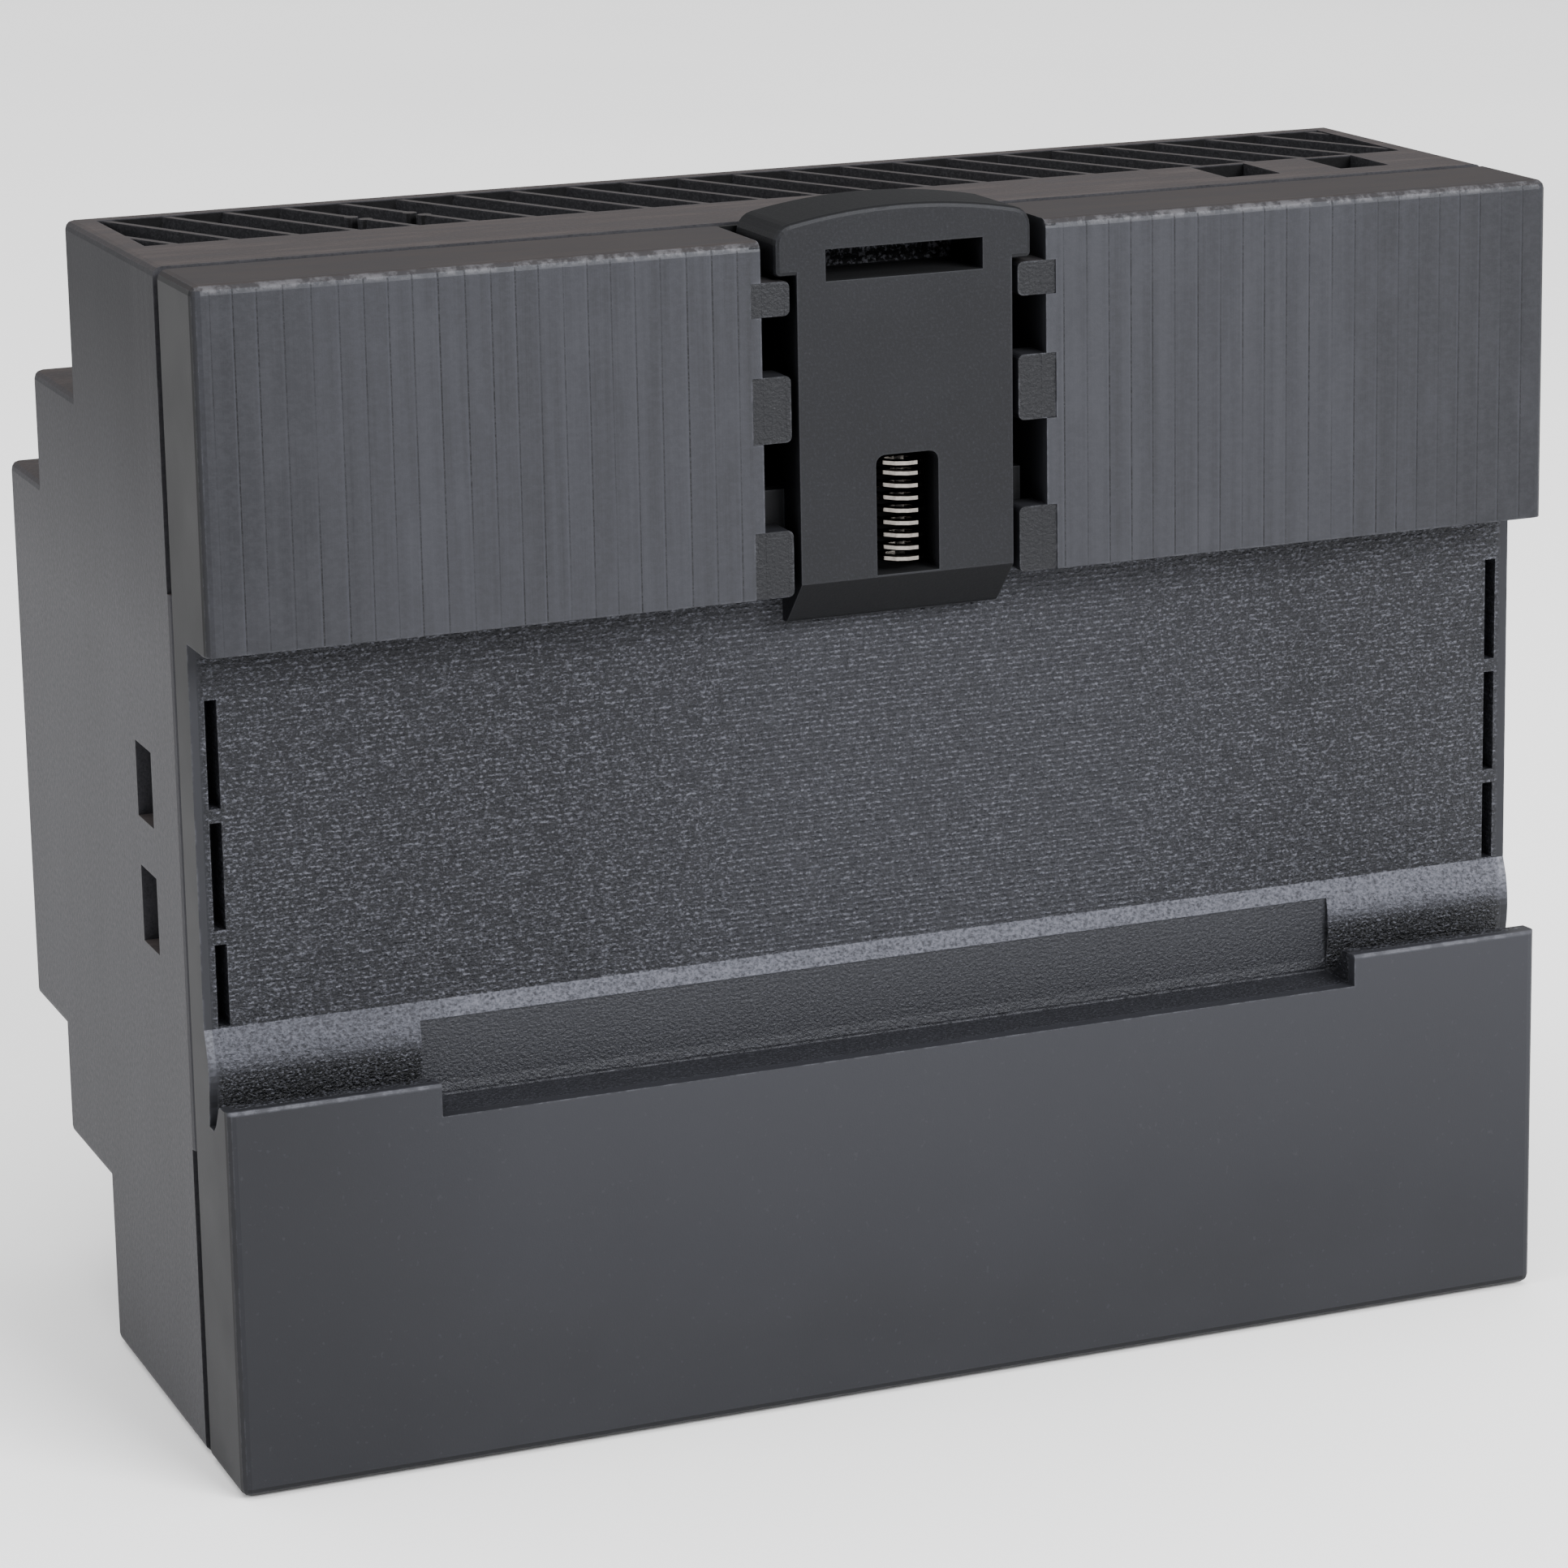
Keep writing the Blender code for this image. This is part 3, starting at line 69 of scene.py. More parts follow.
class Shader:
    """Builds one node material: every helper returns an output socket."""

    def __init__(self, name):
        self.material = bpy.data.materials.new(name)
        self.material.use_nodes = True
        self.tree = self.material.node_tree
        self.bsdf = self.tree.nodes["Principled BSDF"]
        self.place = self.tree.nodes.new("ShaderNodeTexCoord").outputs["Object"]
        self.split = None

    def put(self, node, index, value):
        """Links a socket, or sets a constant."""
        socket = node.inputs[index]
        if isinstance(value, bpy.types.NodeSocket):
            self.tree.links.new(value, socket)
        else:
            socket.default_value = value

    def math(self, operation, first, second=0.0, clamp=False):
        node = self.tree.nodes.new("ShaderNodeMath")
        node.operation = operation
        node.use_clamp = clamp
        self.put(node, 0, first)
        self.put(node, 1, second)
        return node.outputs[0]

    def times(self, *factors):
        """The product of the values."""
        product = factors[0]
        for factor in factors[1:]:
            product = self.math("MULTIPLY", product, factor)
        return product

    def distance(self, value, middle=0.0):
        """How far the value lies from the middle, without its sign."""
        if middle:
            value = self.math("SUBTRACT", value, middle)
        return self.math("ABSOLUTE", value)

    def axis(self, letter):
        """One coordinate of the point in millimetres: X, Z, or D for the depth in front of the rear face."""
        if self.split is None:
            self.split = self.tree.nodes.new("ShaderNodeSeparateXYZ")
            self.tree.links.new(self.place, self.split.inputs[0])
        if letter == "D":
            return self.math("SUBTRACT", MIDDLE_DEPTH, self.times(self.split.outputs["Y"], 1000))
        return self.times(self.split.outputs[letter], 1000)

    def facing(self, letter, smooth=False):
        """One coordinate of the surface's own direction, from -1 to 1."""
        normal = self.tree.nodes.new("ShaderNodeNewGeometry").outputs["Normal" if smooth else "True Normal"]
        split = self.tree.nodes.new("ShaderNodeSeparateXYZ")
        self.tree.links.new(normal, split.inputs[0])
        return split.outputs[letter]

    def noise(self, size, detail=2.0, roughness=0.5, stretch=(1, 1, 1)):
        """Noise whose features are about size millimetres across, stretched along each axis."""
        mapping = self.tree.nodes.new("ShaderNodeMapping")
        mapping.inputs["Scale"].default_value = [1 / s for s in stretch]
        self.tree.links.new(self.place, mapping.inputs["Vector"])
        node = self.tree.nodes.new("ShaderNodeTexNoise")
        self.tree.links.new(mapping.outputs[0], node.inputs["Vector"])
        node.inputs["Scale"].default_value = 1000 / size
        node.inputs["Detail"].default_value = detail
        node.inputs["Roughness"].default_value = roughness
        return node.outputs["Fac"]

    def ramp(self, value, low, high, start=0.0, end=1.0):
        """Value from low to high becomes start to end, and is held outside."""
        node = self.tree.nodes.new("ShaderNodeMapRange")
        for index, number in enumerate((value, low, high, start, end)):
            self.put(node, index, number)
        return node.outputs[0]

    def above(self, value, edge, soft):
        """1 where the value is over the edge, and 0 under it."""
        return self.ramp(value, edge - soft, edge + soft)

    def below(self, value, edge, soft):
        """1 where the value is under the edge, and 0 over it."""
        return self.ramp(value, edge - soft, edge + soft, 1, 0)

    def between(self, value, low, high, soft):
        """1 where the value lies between low and high, falling to 0 over a soft edge."""
        return self.times(self.above(value, low, soft), self.below(value, high, soft))

    def mix(self, amount, first, second):
        node = self.tree.nodes.new("ShaderNodeMix")
        node.data_type = "RGBA"
        self.put(node, 0, amount)
        for index, colour in ((6, first), (7, second)):
            self.put(node, index, colour if isinstance(colour, bpy.types.NodeSocket) else (*colour, 1))
        return node.outputs[2]

    def over(self, shade, colour, *amounts):
        """The shade with a colour laid over it, as strongly as the product of the amounts."""
        return self.mix(self.times(*amounts), shade, colour)

    def edges(self, width):
        """1 on a sharp edge within the width in millimetres, from the difference to a rounded normal."""
        rounded = self.tree.nodes.new("ShaderNodeBevel")
        rounded.samples = 4
        rounded.inputs["Radius"].default_value = width * MM
        plain = self.tree.nodes.new("ShaderNodeNewGeometry").outputs["Normal"]
        dot = self.tree.nodes.new("ShaderNodeVectorMath")
        dot.operation = "DOT_PRODUCT"
        self.tree.links.new(rounded.outputs[0], dot.inputs[0])
        self.tree.links.new(plain, dot.inputs[1])
        return self.ramp(dot.outputs["Value"], 0.99, 0.86)

    def bump(self, height, depth, before=None):
        """A bump whose height of 1 is depth millimetres, on top of the one before."""
        node = self.tree.nodes.new("ShaderNodeBump")
        node.inputs["Distance"].default_value = depth * MM
        node.inputs["Strength"].default_value = 1.0
        self.put(node, "Height", height)
        if before is not None:
            self.tree.links.new(before, node.inputs["Normal"])
        return node.outputs[0]

    def tint(self, colour):
        """Colours the plastic's reflections."""
        self.bsdf.inputs["Specular Tint"].default_value = (*colour, 1)

    def finish(self, colour, roughness, metallic=0.0, normal=None, specular=0.5):
        self.put(self.bsdf, "Base Color", colour)
        self.put(self.bsdf, "Roughness", roughness)
        self.put(self.bsdf, "Metallic", metallic)
        self.put(self.bsdf, "Specular IOR Level", specular)
        if normal is not None:
            self.tree.links.new(normal, self.bsdf.inputs["Normal"])
        return self.material


def grey(level, red=-0.02, blue=0.16):
    """A near-grey, by default slightly blue. Red and blue are what those channels have over green."""
    return (level * (1 + red), level, level * (1 + blue))


def slate(level):
    """The rear base's own grey."""
    return grey(level, -0.03, 0.2)


def shaded(colour, share):
    """The colour with every channel multiplied by the share, held at full white."""
    return tuple(min(1, channel * share) for channel in colour)


# ---------------------------------------------------------------- plastics


def base_plastic():
    """Dark grey plastic: cutter marks on the upper block, eroded grain in the channel, satin below."""
    s = Shader("base_plastic_look")
    x, z, depth = s.axis("X"), s.axis("Z"), s.axis("D")
    across = s.distance(x)

    # Where each zone of the moulding lies.
    rear = s.ramp(s.facing("Y"), 0.6, 0.8)
    top = s.times(s.ramp(s.facing("Z"), 0.5, 0.9), s.ramp(z, 86, 88))
    under = s.ramp(s.facing("Z"), -0.06, -0.3)
    side = s.ramp(s.distance(s.facing("X")), 0.5, 0.9)
    side = s.times(side, s.ramp(across, HALF_WIDTH - 1, HALF_WIDTH - 0.5))
    upper = s.between(z, BLOCK_LOW, BLOCK_HIGH, 0.02)
    lower = s.below(z, LOWER_TOP, 0.025)
    block = s.times(s.ramp(depth, 0.05, 0.3, 1, 0), rear, upper)
    channel = s.times(s.ramp(depth, 0.9, 1.2), s.between(z, CHANNEL_LOW, CHANNEL_HIGH, 0.05))
    channel = s.times(channel, s.ramp(across, HALF_WIDTH - 1, HALF_WIDTH - 0.6, 1, 0))
    floor_zone = s.times(channel, s.above(z, CHANNEL_FLOOR_LOW, 0.1))
    rest_zone = s.times(s.below(across, REST_HALF_WIDTH, 0.05), s.below(z, REST_TOP, 0.05))
    rest_zone = s.times(channel, rest_zone)
    tab = s.times(upper, rear, s.between(across, TAB_INNER, TAB_OUTER, 0.02))
    tab = s.times(tab, s.below(s.distance(depth, TAB_DEPTH), 0.04, 0.01))
    shaded_pocket = s.times(s.below(across, POCKET_HALF_WIDTH, 0.035), s.ramp(depth, 1.2, 3.2), upper)
    lit_slope = s.times(s.between(s.facing("Z"), 0.10, 0.75, 0.10), s.between(z, SLOPE_LOW, SLOPE_HIGH, 0.3))
    shaded_hollow = s.times(channel, s.between(z, CHANNEL_LOW, HOLLOW_TOP, 0.6), s.above(across, REST_HALF_WIDTH, 0.1))
    block_rim = s.times(s.between(z, BLOCK_RIM_LOW, BLOCK_RIM_HIGH, 0.12), s.ramp(depth, 0.15, 0.6, 1, 0))
    lower_rim = s.times(s.between(z, LOWER_RIM_LOW, LOWER_RIM_HIGH, 0.08), s.ramp(depth, 0.2, 0.5, 1, 0))

    # The upper block's upright cutter marks: one dark line to each pass, of uneven strength.
    streak_fine = s.noise(0.12, 2, 0.6, (1, 1, 90))
    streak_wide = s.noise(1.5, 3, 0.65, (1, 1, 40))
    tooth = s.noise(0.12, 1, 0.5, (4, 4, 1))
    wander = s.times(s.noise(9, 1, 0.5, (1, 1, 60)), 1.2)
    phase = s.math("FRACT", s.math("DIVIDE", s.math("ADD", x, wander), CUTTER_PASS))
    strength = s.ramp(s.noise(2.0, 2, 0.6, (1, 1, 12)), 0.32, 0.62, 0.15, 1.0)
    line = s.times(s.between(phase, 0.475, 0.525, 0.012), strength, s.ramp(tooth, 0.35, 0.6, 0.35, 1.0))
    beside = s.times(s.between(phase, 0.53, 0.60, 0.03), strength)
    band = s.ramp(streak_wide, 0.35, 0.65)
    scuff = s.ramp(s.noise(5, 3, 0.6, (1, 1, 2)), 0.52, 0.72)
    blotch = s.ramp(s.noise(0.3, 3, 0.65, (1.6, 1, 1)), 0.42, 0.62)
    ends = s.ramp(s.distance(x, 2), 36, 54)

    # The channel's eroded grain, with level scan lines that are strongest near the middle.
    grain = s.noise(0.24, 3, 0.62, (1.25, 1, 1))
    pitted = s.ramp(grain, 0.36, 0.62, 0.25, 1.0)
    fine_grain = s.noise(0.13, 2, 0.6)
    sparkle = s.ramp(s.noise(0.14, 2, 0.6, (1.7, 1, 1)), 0.50, 0.68)
    waver = s.times(s.noise(2.5, 2, 0.5, (3, 1, 0.5)), 1.2)
    scan = s.math("SINE", s.math("ADD", s.times(z, math.tau / SCAN_PITCH), waver))
    off_middle = s.distance(x, LINED_MIDDLE)
    zone = s.ramp(off_middle, LINED_HALF_WIDTH - 0.1, LINED_HALF_WIDTH + 0.1, 1.0, 0.45)
    lined = s.times(scan, zone, floor_zone)
    middle = s.ramp(off_middle, 12, 32, 0.55, 0.0)
    far_end = s.ramp(x, 38, 34, 0.7, 1.0)
    glints = s.times(s.math("SUBTRACT", channel, s.times(rest_zone, 0.7)), sparkle)
    glints = s.times(glints, s.ramp(scan, -0.5, 0.8, s.ramp(zone, 0.45, 1.0, 0.42, 0.25), 1.0))

    # Changes of tone and wear that the whole moulding has. The paler edge lines are partly wear and partly
    # painted highlight where light catches the edges.
    haze = s.noise(16, 3, 0.55)
    speck = s.ramp(s.noise(0.4, 1, 0.5), 0.70, 0.78)
    edge_wear_and_highlight = s.ramp(s.noise(1.1, 4, 0.75), 0.45, 0.6)
    worn_top = s.ramp(s.noise(1.6, 4, 0.7, (7, 1, 1)), 0.35, 0.65, 0.55, 0.95)

    shade = s.mix(s.ramp(haze, 0.3, 0.7), slate(0.0094), slate(0.0118))
    shade = s.over(shade, slate(0.0182), lower, s.ramp(z, 6, 29), s.ramp(x, 50, 20, 0.5, 1.0), 0.8)
    shade = s.over(shade, slate(0.0062), lower, s.ramp(x, 30, 52, 0.0, 0.6))
    shade = s.over(shade, grey(0.0048, 0.02, 0.14), side, 0.9)
    # Painted shade: the sides darken towards the top, where the light falls off.
    shade = s.over(shade, grey(0.0008), side, s.ramp(z, 30, 66, 0.0, 0.9))
    shade = s.over(shade, slate(0.0170), block, s.ramp(streak_fine, 0.3, 0.7, 0.1, 0.6))
    shade = s.over(shade, slate(0.0205), block, band, 0.7)
    shade = s.over(shade, slate(0.0045), block, ends, 0.6)
    shade = s.over(shade, slate(0.0300), block, blotch, 0.16)
    shade = s.over(shade, slate(0.0300), block, scuff, 0.2)
    shade = s.over(shade, grey(0.030, -0.03, 0.24), block, beside, 0.3)
    shade = s.over(shade, grey(0.0006), block, line, 0.95)
    shade = s.over(shade, slate(0.0062), channel, 0.85)
    shade = s.over(shade, slate(0.0160), floor_zone, middle)
    shade = s.over(shade, slate(0.0300), lined, 0.4)
    # Painted light on the end bumps' upward-facing slope, weaker beyond x = 34 mm.
    shade = s.over(shade, slate(0.0880), lit_slope, pitted, far_end)
    shade = s.over(shade, slate(0.0125), rest_zone, 0.8)
    # Painted shade in the hollow under the end bumps.
    shade = s.over(shade, grey(0.0012), shaded_hollow, 0.8)
    shade = s.over(shade, slate(0.0950), glints, 0.75)
    shade = s.over(shade, grey(0.0030, 0.0, 0.2), tab, 0.95)
    shade = s.over(shade, grey(0.014), tab, s.ramp(fine_grain, 0.5, 0.7, 0.0, 0.5))
    shade = s.over(shade, grey(0.035), lower, speck, 0.2)
    shade = s.over(shade, grey(0.0150, 0.24, -0.05), top, worn_top)
    # Painted shade on faces turned down.
    shade = s.over(shade, grey(0.001), under, 0.85)
    # Paler top rim, sharp edges and lower rim: partly wear and partly painted highlight where light catches the
    # edges.
    shade = s.over(shade, grey(0.075, 0.02, 0.08), block_rim, edge_wear_and_highlight, 0.6)
    shade = s.over(shade, grey(0.06), s.edges(0.25), edge_wear_and_highlight, 0.6)
    shade = s.over(shade, grey(0.07), lower_rim, s.ramp(edge_wear_and_highlight, 0.0, 1.0, 0.3, 0.7))
    # Painted shade deepening into the latch pocket.
    shade = s.over(shade, grey(0.0005), shaded_pocket)
    # Painted shade in the gap between the base's end and the housing.
    shade = s.over(shade, grey(0.0005), s.above(depth, BASE_END_DEPTH, 0.03))

    rough = s.ramp(haze, 0.3, 0.7, 0.44, 0.54)
    rough = s.math("SUBTRACT", rough, s.times(channel, 0.10))
    rough = s.math("ADD", rough, s.times(block, s.ramp(streak_fine, 0.3, 0.7, -0.03, 0.04)))
    rough = s.math("ADD", rough, s.times(s.math("MAXIMUM", top, shaded_pocket), 0.3))
    rough = s.math("ADD", rough, s.times(side, 0.09), clamp=True)

    grained = s.math("SUBTRACT", channel, s.times(rest_zone, 0.55))
    grained = s.math("MAXIMUM", grained, s.times(tab, 0.35))
    normal = s.bump(fine_grain, 0.006)
    normal = s.bump(s.times(block, streak_fine), 0.005, normal)
    normal = s.bump(s.times(block, s.noise(0.16, 2, 0.6)), 0.012, normal)
    normal = s.bump(s.times(block, line), -0.03, normal)
    normal = s.bump(s.times(grained, grain), 0.32, normal)
    normal = s.bump(lined, 0.014, normal)
    s.tint(COOL)
    return s.finish(shade, rough, normal=normal, specular=0.18)


def housing_plastic():
    """The housing's lighter matt grey, with fine grain and slightly paler edges, partly wear and partly painted
    highlight. Its top has warm streaks, partly its own tone and partly painted highlight of its satin sheen.
    """
    s = Shader("housing_plastic_look")
    z, depth = s.axis("Z"), s.axis("D")
    side = s.ramp(s.distance(s.facing("X")), 0.6, 0.9)
    top = s.ramp(s.facing("Z"), 0.6, 0.9)
    high = s.times(s.ramp(z, 60, 86), side)
    seam_highlight_band = s.times(s.between(depth, 11.0, 15.5, 2.0), side)
    level = s.distance(s.facing("Z"))
    well = s.between(s.distance(z, HALF_HEIGHT), *LOUVRE_WELL_FROM_MIDDLE, 0.03)
    well = s.times(s.between(depth, *LOUVRE_WELL_DEPTHS, 0.02), well, s.math("SUBTRACT", 1.0, side))
    shaded_walls = s.times(well, s.ramp(level, 0.5, 0.3))
    rib_top = s.times(well, s.ramp(level, 0.5, 0.9))

    haze = s.noise(11, 3, 0.6, (1, 1, 3))
    grain = s.noise(0.36, 3, 0.65)
    fine = s.noise(0.18, 2, 0.6)
    streaks = s.ramp(s.noise(0.9, 2, 0.6, (1, 1, 40)), 0.4, 0.65)
    top_streaks_and_sheen = s.noise(1.4, 4, 0.65, (9, 1, 1))
    edge_wear_and_highlight = s.ramp(s.noise(1.6, 3, 0.7), 0.4, 0.6)

    shade = s.mix(s.ramp(haze, 0.3, 0.7), grey(0.0160, 0.02, 0.16), grey(0.0205, 0.02, 0.16))
    # Painted shade: the sides darken towards the top, where the light falls off.
    shade = s.over(shade, grey(0.0045, 0.0, 0.16), high, 0.8)
    shade = s.over(shade, grey(0.024, 0.02, 0.1), s.ramp(grain, 0.42, 0.66), 0.4)
    shade = s.over(shade, grey(0.030, 0.02, 0.1), s.ramp(fine, 0.55, 0.72), 0.4)
    shade = s.over(shade, grey(0.003, 0.02, 0.1), s.ramp(fine, 0.45, 0.30), 0.4)
    # Painted highlight: a pale band on the sides just in front of the seam, broken into upright streaks.
    shade = s.over(shade, grey(0.028, 0.02, 0.1), seam_highlight_band, streaks, 0.3)
    # Warm streaks along the top, partly its own tone and partly painted highlight of its satin sheen.
    shade = s.over(shade, grey(0.0215, 0.26, -0.06), top, s.ramp(top_streaks_and_sheen, 0.3, 0.7, 0.45, 0.95))
    shade = s.over(shade, grey(0.036, 0.20, -0.02), top, s.ramp(top_streaks_and_sheen, 0.52, 0.68, 0.0, 0.5))
    # Painted shade on the louvre wells' walls; the rib tops between them stay paler.
    shade = s.over(shade, grey(0.0012, 0.1, 0.0), shaded_walls, 0.95)
    shade = s.over(shade, grey(0.020, 0.1, 0.0), rib_top, 0.6)
    # Painted shade on the housing's rear rim, inside the gap to the base.
    shade = s.over(shade, grey(0.0005), s.below(depth, HOUSING_START_DEPTH, 0.03))
    # Paler edges: partly wear and partly painted highlight where light catches them.
    shade = s.over(shade, grey(0.05, 0.03, 0.1), s.edges(0.3), edge_wear_and_highlight, 0.4)

    deep = s.math("MAXIMUM", shaded_walls, s.times(high, 0.45))
    rough = s.math("ADD", s.ramp(grain, 0.3, 0.7, 0.5, 0.62), s.times(top, 0.15))
    rough = s.math("ADD", rough, s.times(deep, 0.3), clamp=True)
    normal = s.bump(grain, 0.02)
    normal = s.bump(fine, 0.008, normal)
    normal = s.bump(haze, 0.05, normal)
    s.tint(COOL)
    return s.finish(shade, rough, normal=normal, specular=0.15)


def latch_plastic():
    """Darker, very fine matt plastic. The back of the screwdriver slot is coarse."""
    s = Shader("latch_plastic_look")
    z, depth = s.axis("Z"), s.axis("D")
    slot_low, slot_high = LATCH_SLOT_HEIGHTS
    slot = s.times(s.between(z, slot_low, slot_high, 0.05), s.ramp(depth, 5.5, 6.3))
    shaded_inside = s.times(s.between(z, LATCH_INSIDE_LOW, slot_high, 0.05), s.ramp(depth, 0.4, 2.2))
    under = s.ramp(s.facing("Z"), -0.2, -0.5)
    top = s.ramp(s.facing("Z"), 0.45, 0.85)
    grain = s.noise(0.22, 3, 0.65)
    haze = s.noise(8, 2, 0.5)
    speck = s.ramp(s.noise(0.26, 1, 0.5), 0.67, 0.77)
    coarse = s.noise(0.34, 2, 0.7)

    shade = s.mix(s.ramp(haze, 0.3, 0.7), grey(0.0022, -0.03, 0.22), grey(0.0034, -0.03, 0.22))
    shade = s.over(shade, grey(0.012, -0.03, 0.26), s.ramp(grain, 0.5, 0.66), 0.45)
    shade = s.over(shade, grey(0.03), speck, 0.25)
    # Painted shade on the latch where it lies deeper in the base's slot.
    shade = s.over(shade, grey(0.001), shaded_inside, 0.8)
    shade = s.over(shade, grey(0.10), slot, s.ramp(coarse, 0.5, 0.62))
    # Painted shade on faces turned down.
    shade = s.over(shade, grey(0.001), under, 0.8)
    # Painted shade: the top faces are painted darker than the sides.
    shade = s.over(shade, grey(0.0012), top, 0.85)
    # Painted highlight along the sharp edges.
    shade = s.over(shade, grey(0.03), s.edges(0.2), 0.35)
    rough = s.math("ADD", s.ramp(grain, 0.3, 0.7, 0.48, 0.58), s.times(top, 0.35))
    normal = s.bump(grain, 0.016)
    normal = s.bump(s.times(slot, coarse), 0.25, normal)
    s.tint(COOL)
    return s.finish(shade, rough, normal=normal, specular=0.17)


def moulded(name, colour, roughness=0.5, grain_size=0.4, depth=0.01, variation=0.12):
    """An even moulded or lacquered surface with fine grain and slow changes of tone."""
    s = Shader(name)
    grain = s.noise(grain_size, 3, 0.6)
    haze = s.noise(6, 2, 0.5)
    pale = tuple(min(1, channel * 1.5 + 0.02) for channel in colour)
    shade = s.mix(s.ramp(haze, 0.3, 0.7), shaded(colour, 1 - variation), shaded(colour, 1 + variation))
    shade = s.over(shade, pale, s.ramp(grain, 0.55, 0.75), 0.2)
    rough = s.ramp(grain, 0.3, 0.7, roughness - 0.05, roughness + 0.06)
    return s.finish(shade, rough, normal=s.bump(grain, depth))


def drawn_metal(name, colour, roughness, streak=(1, 1, 1), depth=0.004):
    """Bare metal with fine drawing or rolling marks."""
    s = Shader(name)
    marks = s.noise(0.25, 3, 0.6, streak)
    stain = s.noise(3.0, 2, 0.5)
    shade = s.mix(s.ramp(marks, 0.3, 0.7), shaded(colour, 0.72), colour)
    shade = s.over(shade, shaded(colour, 0.8), s.ramp(stain, 0.5, 0.7), 0.25)
    rough = s.ramp(marks, 0.3, 0.7, roughness - 0.06, roughness + 0.08)
    return s.finish(shade, rough, 1.0, s.bump(marks, depth))


def spring_steel():
    """Drawn wire with a painted highlight on the turns' upward faces and painted shade underneath, where they
    face the other turns.
    """
    s = Shader("spring_steel_look")
    marks = s.noise(0.25, 3, 0.6)
    lit = s.between(s.facing("Z", smooth=True), 0.12, 0.62, 0.22)
    shade = s.mix(s.ramp(marks, 0.3, 0.7), (0.045, 0.041, 0.038), (0.075, 0.068, 0.062))
    shade = s.over(shade, WIRE_PAINTED_HIGHLIGHT, lit, s.ramp(marks, 0.3, 0.6, 0.6, 1.0))
    return s.finish(shade, s.ramp(marks, 0.3, 0.7, 0.1, 0.2), 1.0, s.bump(marks, 0.003))


def board_laminate():
    """Green solder resist over copper tracks."""
    s = Shader("board_laminate_look")
    weave = s.noise(0.5, 2, 0.5)
    track_pitch = 2.54
    track = s.between(s.math("FRACT", s.math("DIVIDE", s.axis("X"), track_pitch)), 0.3, 0.62, 0.03)
    broken = s.ramp(s.noise(9, 1, 0.4), 0.48, 0.52)
    shade = s.over((0.02, 0.12, 0.05), (0.06, 0.26, 0.10), track, broken, 0.6)
    return s.finish(shade, s.ramp(weave, 0.3, 0.7, 0.32, 0.46), normal=s.bump(weave, 0.01))


def wound_wire():
    """Enamelled copper turns: fine ridges across the core."""
    s = Shader("enamelled_wire_look")
    turns = s.noise(0.5, 2, 0.6)
    shade = s.mix(s.ramp(turns, 0.35, 0.65), (0.26, 0.07, 0.02), (0.62, 0.24, 0.07))
    return s.finish(shade, s.ramp(turns, 0.3, 0.7, 0.25, 0.4), 0.7, s.bump(turns, 0.05))


def clear_plastic():
    """Clear light pipe with a faint milky tint."""
    s = Shader("clear_plastic_look")
    haze = s.noise(0.8, 2, 0.5)
    s.bsdf.inputs["Transmission Weight"].default_value = 0.75
    shade = s.mix(s.ramp(haze, 0.3, 0.7), (0.62, 0.74, 0.64), (0.78, 0.86, 0.79))
    return s.finish(shade, s.ramp(haze, 0.3, 0.7, 0.1, 0.2))


# ---------------------------------------------------------------- applying


def looks():
    """One material for each slot in the record."""
    return {
        "base_plastic": base_plastic(),
        "housing_plastic": housing_plastic(),
        "latch_plastic": latch_plastic(),
        "spring_steel": spring_steel(),
        "plate_film": moulded("plate_film_look", (0.16, 0.164, 0.17), 0.5, 0.3, 0.006, 0.03),
        "clear_plastic": clear_plastic(),
        "led_green": moulded("led_green_look", (0.10, 0.55, 0.18), 0.25),
        "terminal_plastic": moulded("terminal_plastic_look", (0.030, 0.031, 0.034), 0.5),
        "header_plastic": moulded("header_plastic_look", (0.09, 0.09, 0.10), 0.5),
        "tinned_copper": drawn_metal("tinned_copper_look", (0.72, 0.71, 0.68), 0.35),
        "board_laminate": board_laminate(),
        "insulating_film": moulded("insulating_film_look", (0.70, 0.69, 0.62), 0.4, 1.0),
        "zinc_steel": drawn_metal("zinc_steel_look", (0.62, 0.63, 0.66), 0.35),
        "fuse_body": moulded("fuse_body_look", (0.045, 0.045, 0.05), 0.45),
        "varistor_blue": moulded("varistor_blue_look", (0.04, 0.12, 0.40), 0.4, 0.8, 0.03),
        "thermistor_black": moulded("thermistor_black_look", (0.03, 0.03, 0.03), 0.5, 0.8, 0.03),
        "film_yellow": moulded("film_yellow_look", (0.66, 0.47, 0.06), 0.4),
        "ceramic_blue": moulded("ceramic_blue_look", (0.07, 0.24, 0.52), 0.4, 0.7, 0.03),
        "ferrite": moulded("ferrite_look", (0.06, 0.06, 0.062), 0.6, 0.5, 0.02, 0.2),
        "enamelled_wire": wound_wire(),
        "capacitor_sleeve": moulded("capacitor_sleeve_look", (0.025, 0.026, 0.05), 0.3, 1.5, 0.01),
        "aluminium": drawn_metal("aluminium_look", (0.74, 0.75, 0.76), 0.4, (1, 1, 30)),
        "chip_epoxy": moulded("chip_epoxy_look", (0.028, 0.028, 0.03), 0.6, 0.25),
        "bobbin_plastic": moulded("bobbin_plastic_look", (0.07, 0.06, 0.05), 0.5),
        "winding_tape": moulded("winding_tape_look", (0.72, 0.58, 0.09), 0.35, 2.0, 0.02),
        "trimmer_blue": moulded("trimmer_blue_look", (0.04, 0.20, 0.46), 0.45),
        "rotor_white": moulded("rotor_white_look", (0.74, 0.74, 0.70), 0.45, 0.3),
    }


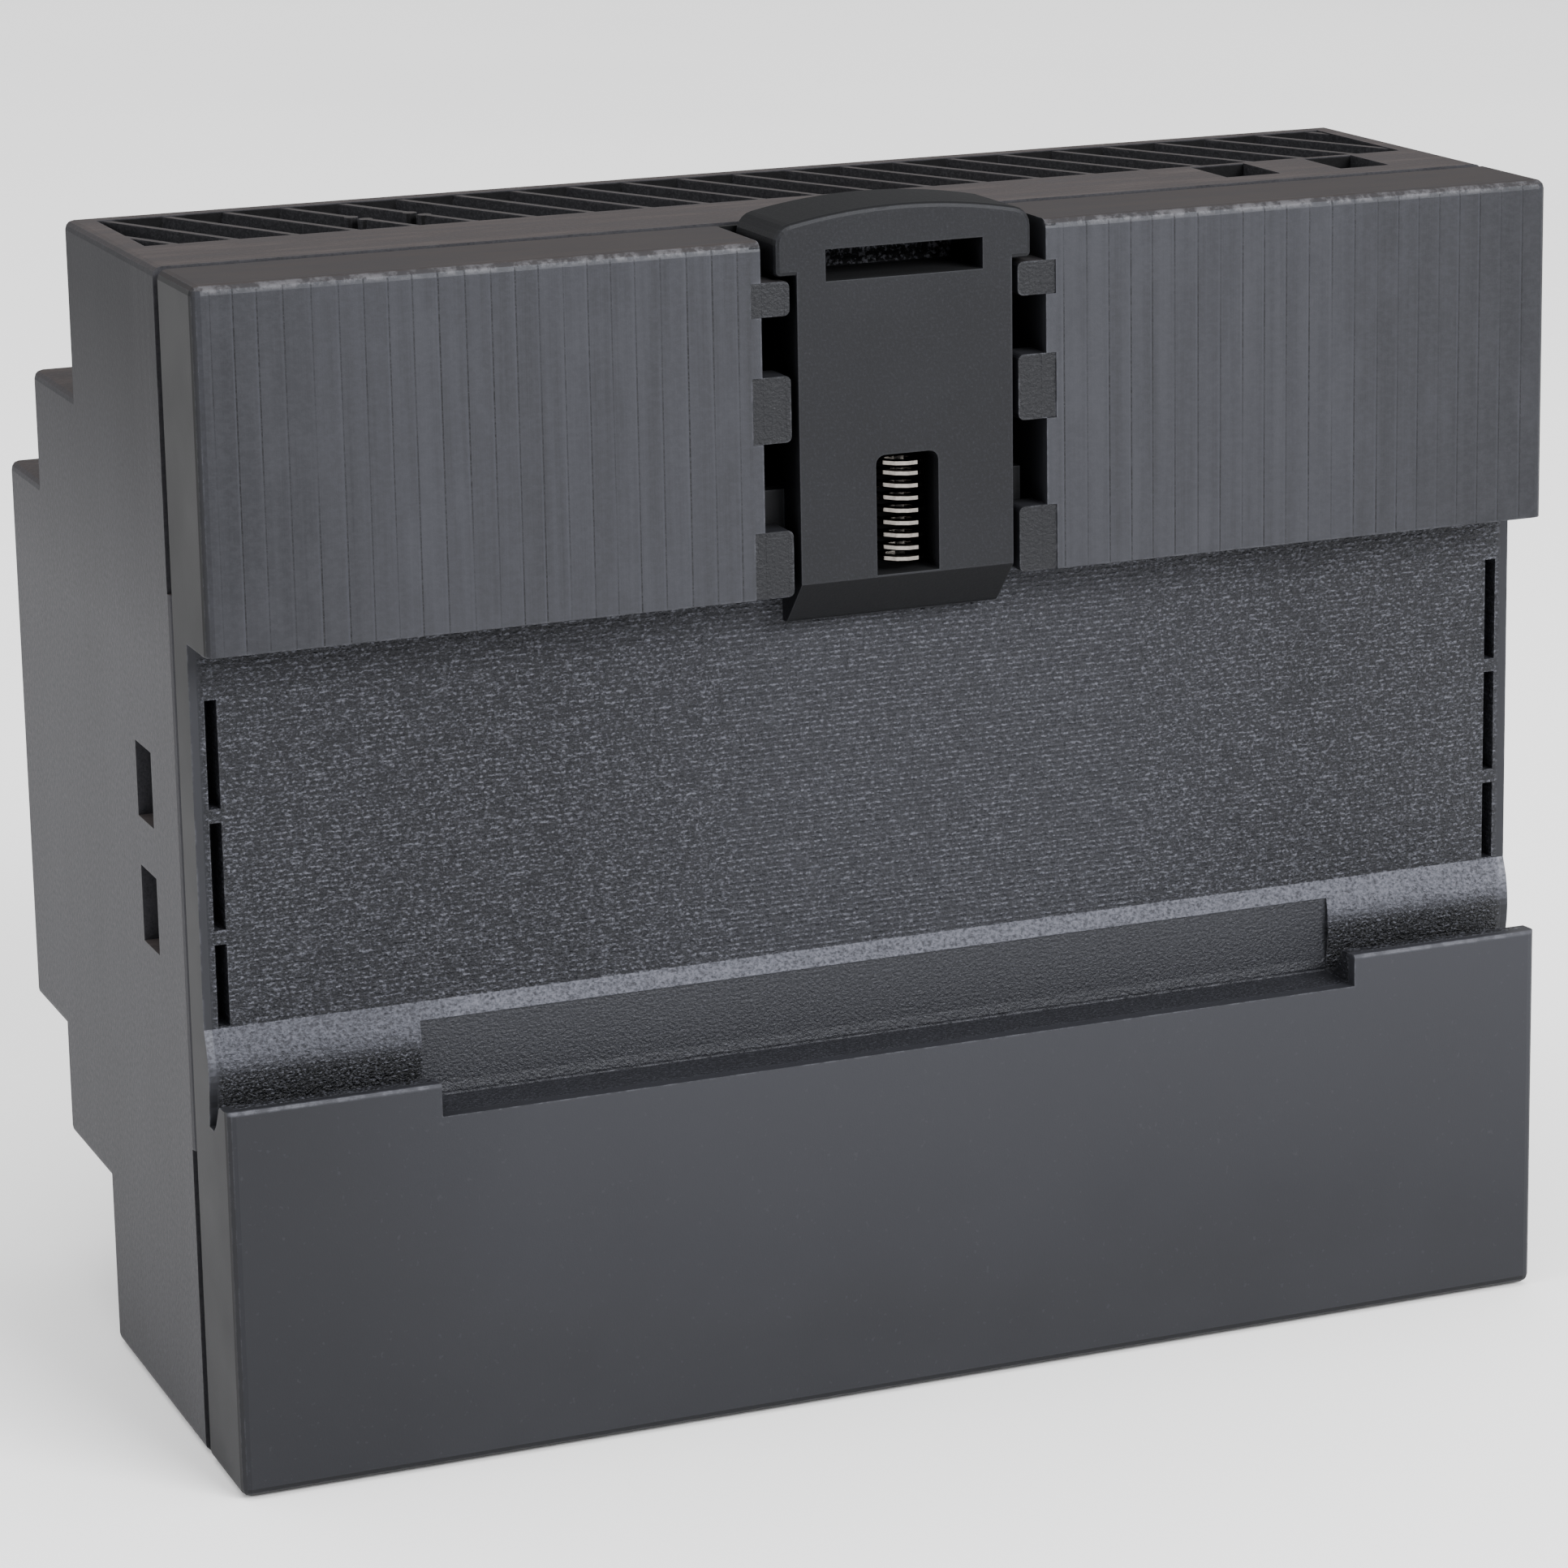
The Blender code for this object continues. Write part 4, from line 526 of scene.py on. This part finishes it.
def dress_nodes():
    """Gives each CAD node its slot's look."""
    made = looks()
    for entry in frame["record"]["subparts"]:
        part = NODES[entry["node"]]
        part.data.materials.clear()
        part.data.materials.append(made[entry["material_slot"]])


def soften_edges(part, width):
    """Rounds a CAD node's sharp edges by a moulding's small radius, in millimetres."""
    weld = part.modifiers.new("weld", "WELD")
    weld.merge_threshold = 0.002 * MM
    bevel = part.modifiers.new("rounding", "BEVEL")
    bevel.width = width * MM
    bevel.segments = 2
    bevel.limit_method = "ANGLE"
    bevel.angle_limit = math.radians(32)
    bevel.use_clamp_overlap = True
    bevel.harden_normals = True


# ---------------------------------------------------------------- floor, lights, camera


def lay_floor():
    """A plain white studio surface, far wider than the view."""
    s = Shader("studio_white")
    tone = s.noise(180, 2, 0.5)
    shade = s.mix(s.ramp(tone, 0.3, 0.7), (0.86, 0.86, 0.865), (0.88, 0.88, 0.88))
    white = s.finish(shade, s.ramp(tone, 0.3, 0.7, 0.6, 0.7))
    drop = 0.2 * MM
    bpy.ops.mesh.primitive_plane_add(size=6, location=(0, 0, -drop))
    floor = bpy.context.object
    floor.name = "studio_floor"
    floor.data.materials.append(white)


def area_light(name, place, target, size, power):
    """A white rectangular lamp that points at the target."""
    data = bpy.data.lights.new(name, "AREA")
    data.shape = "RECTANGLE"
    data.size, data.size_y = size
    data.energy = power
    lamp = bpy.data.objects.new(name, data)
    lamp.location = place
    lamp.rotation_euler = (Vector(target) - Vector(place)).to_track_quat("-Z", "Y").to_euler()
    bpy.context.scene.collection.objects.link(lamp)


def lights():
    """A softbox facing the rail side, one at its left, an even light from above, and a white room."""
    centre = (0, 0, HALF_HEIGHT * MM)
    area_light("key_softbox", place=(-0.35, 0.8, 0.5), target=centre, size=(0.6, 0.4), power=22)
    area_light("side_softbox", place=(0.95, 0.1, 0.5), target=centre, size=(0.5, 0.6), power=7.5)
    panel = bpy.data.lights.new("ceiling_panel", "SUN")
    panel.energy = 3.4
    panel.angle = math.radians(70)
    bpy.context.scene.collection.objects.link(bpy.data.objects.new("ceiling_panel", panel))
    world = bpy.data.worlds.new("studio_world")
    world.use_nodes = True
    background = world.node_tree.nodes["Background"]
    background.inputs["Color"].default_value = (1, 1, 1, 1)
    background.inputs["Strength"].default_value = 0.7
    bpy.context.scene.world = world


def camera():
    """The photograph's view: the rail side, seen from its left and a little above."""
    tilt, roll, turn = 77.229, 1.029, 157.977
    data = bpy.data.cameras.new("photo_camera")
    data.sensor_width = 36
    data.lens = 116.5
    data.shift_y = -0.12
    data.clip_start = 0.01
    data.dof.use_dof = False
    eye = bpy.data.objects.new("photo_camera", data)
    eye.location = (0.14543, 0.36886, 0.14623)
    eye.rotation_euler = Euler([math.radians(angle) for angle in (tilt, roll, turn)])
    bpy.context.scene.collection.objects.link(eye)
    bpy.context.scene.camera = eye


dress_nodes()
soften_edges(NODES["rear_base"], 0.14)
soften_edges(NODES["front_housing"], 0.16)
soften_edges(NODES["rail_latch"], 0.12)
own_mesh(NODES["latch_spring"])
lay_floor()
lights()
camera()
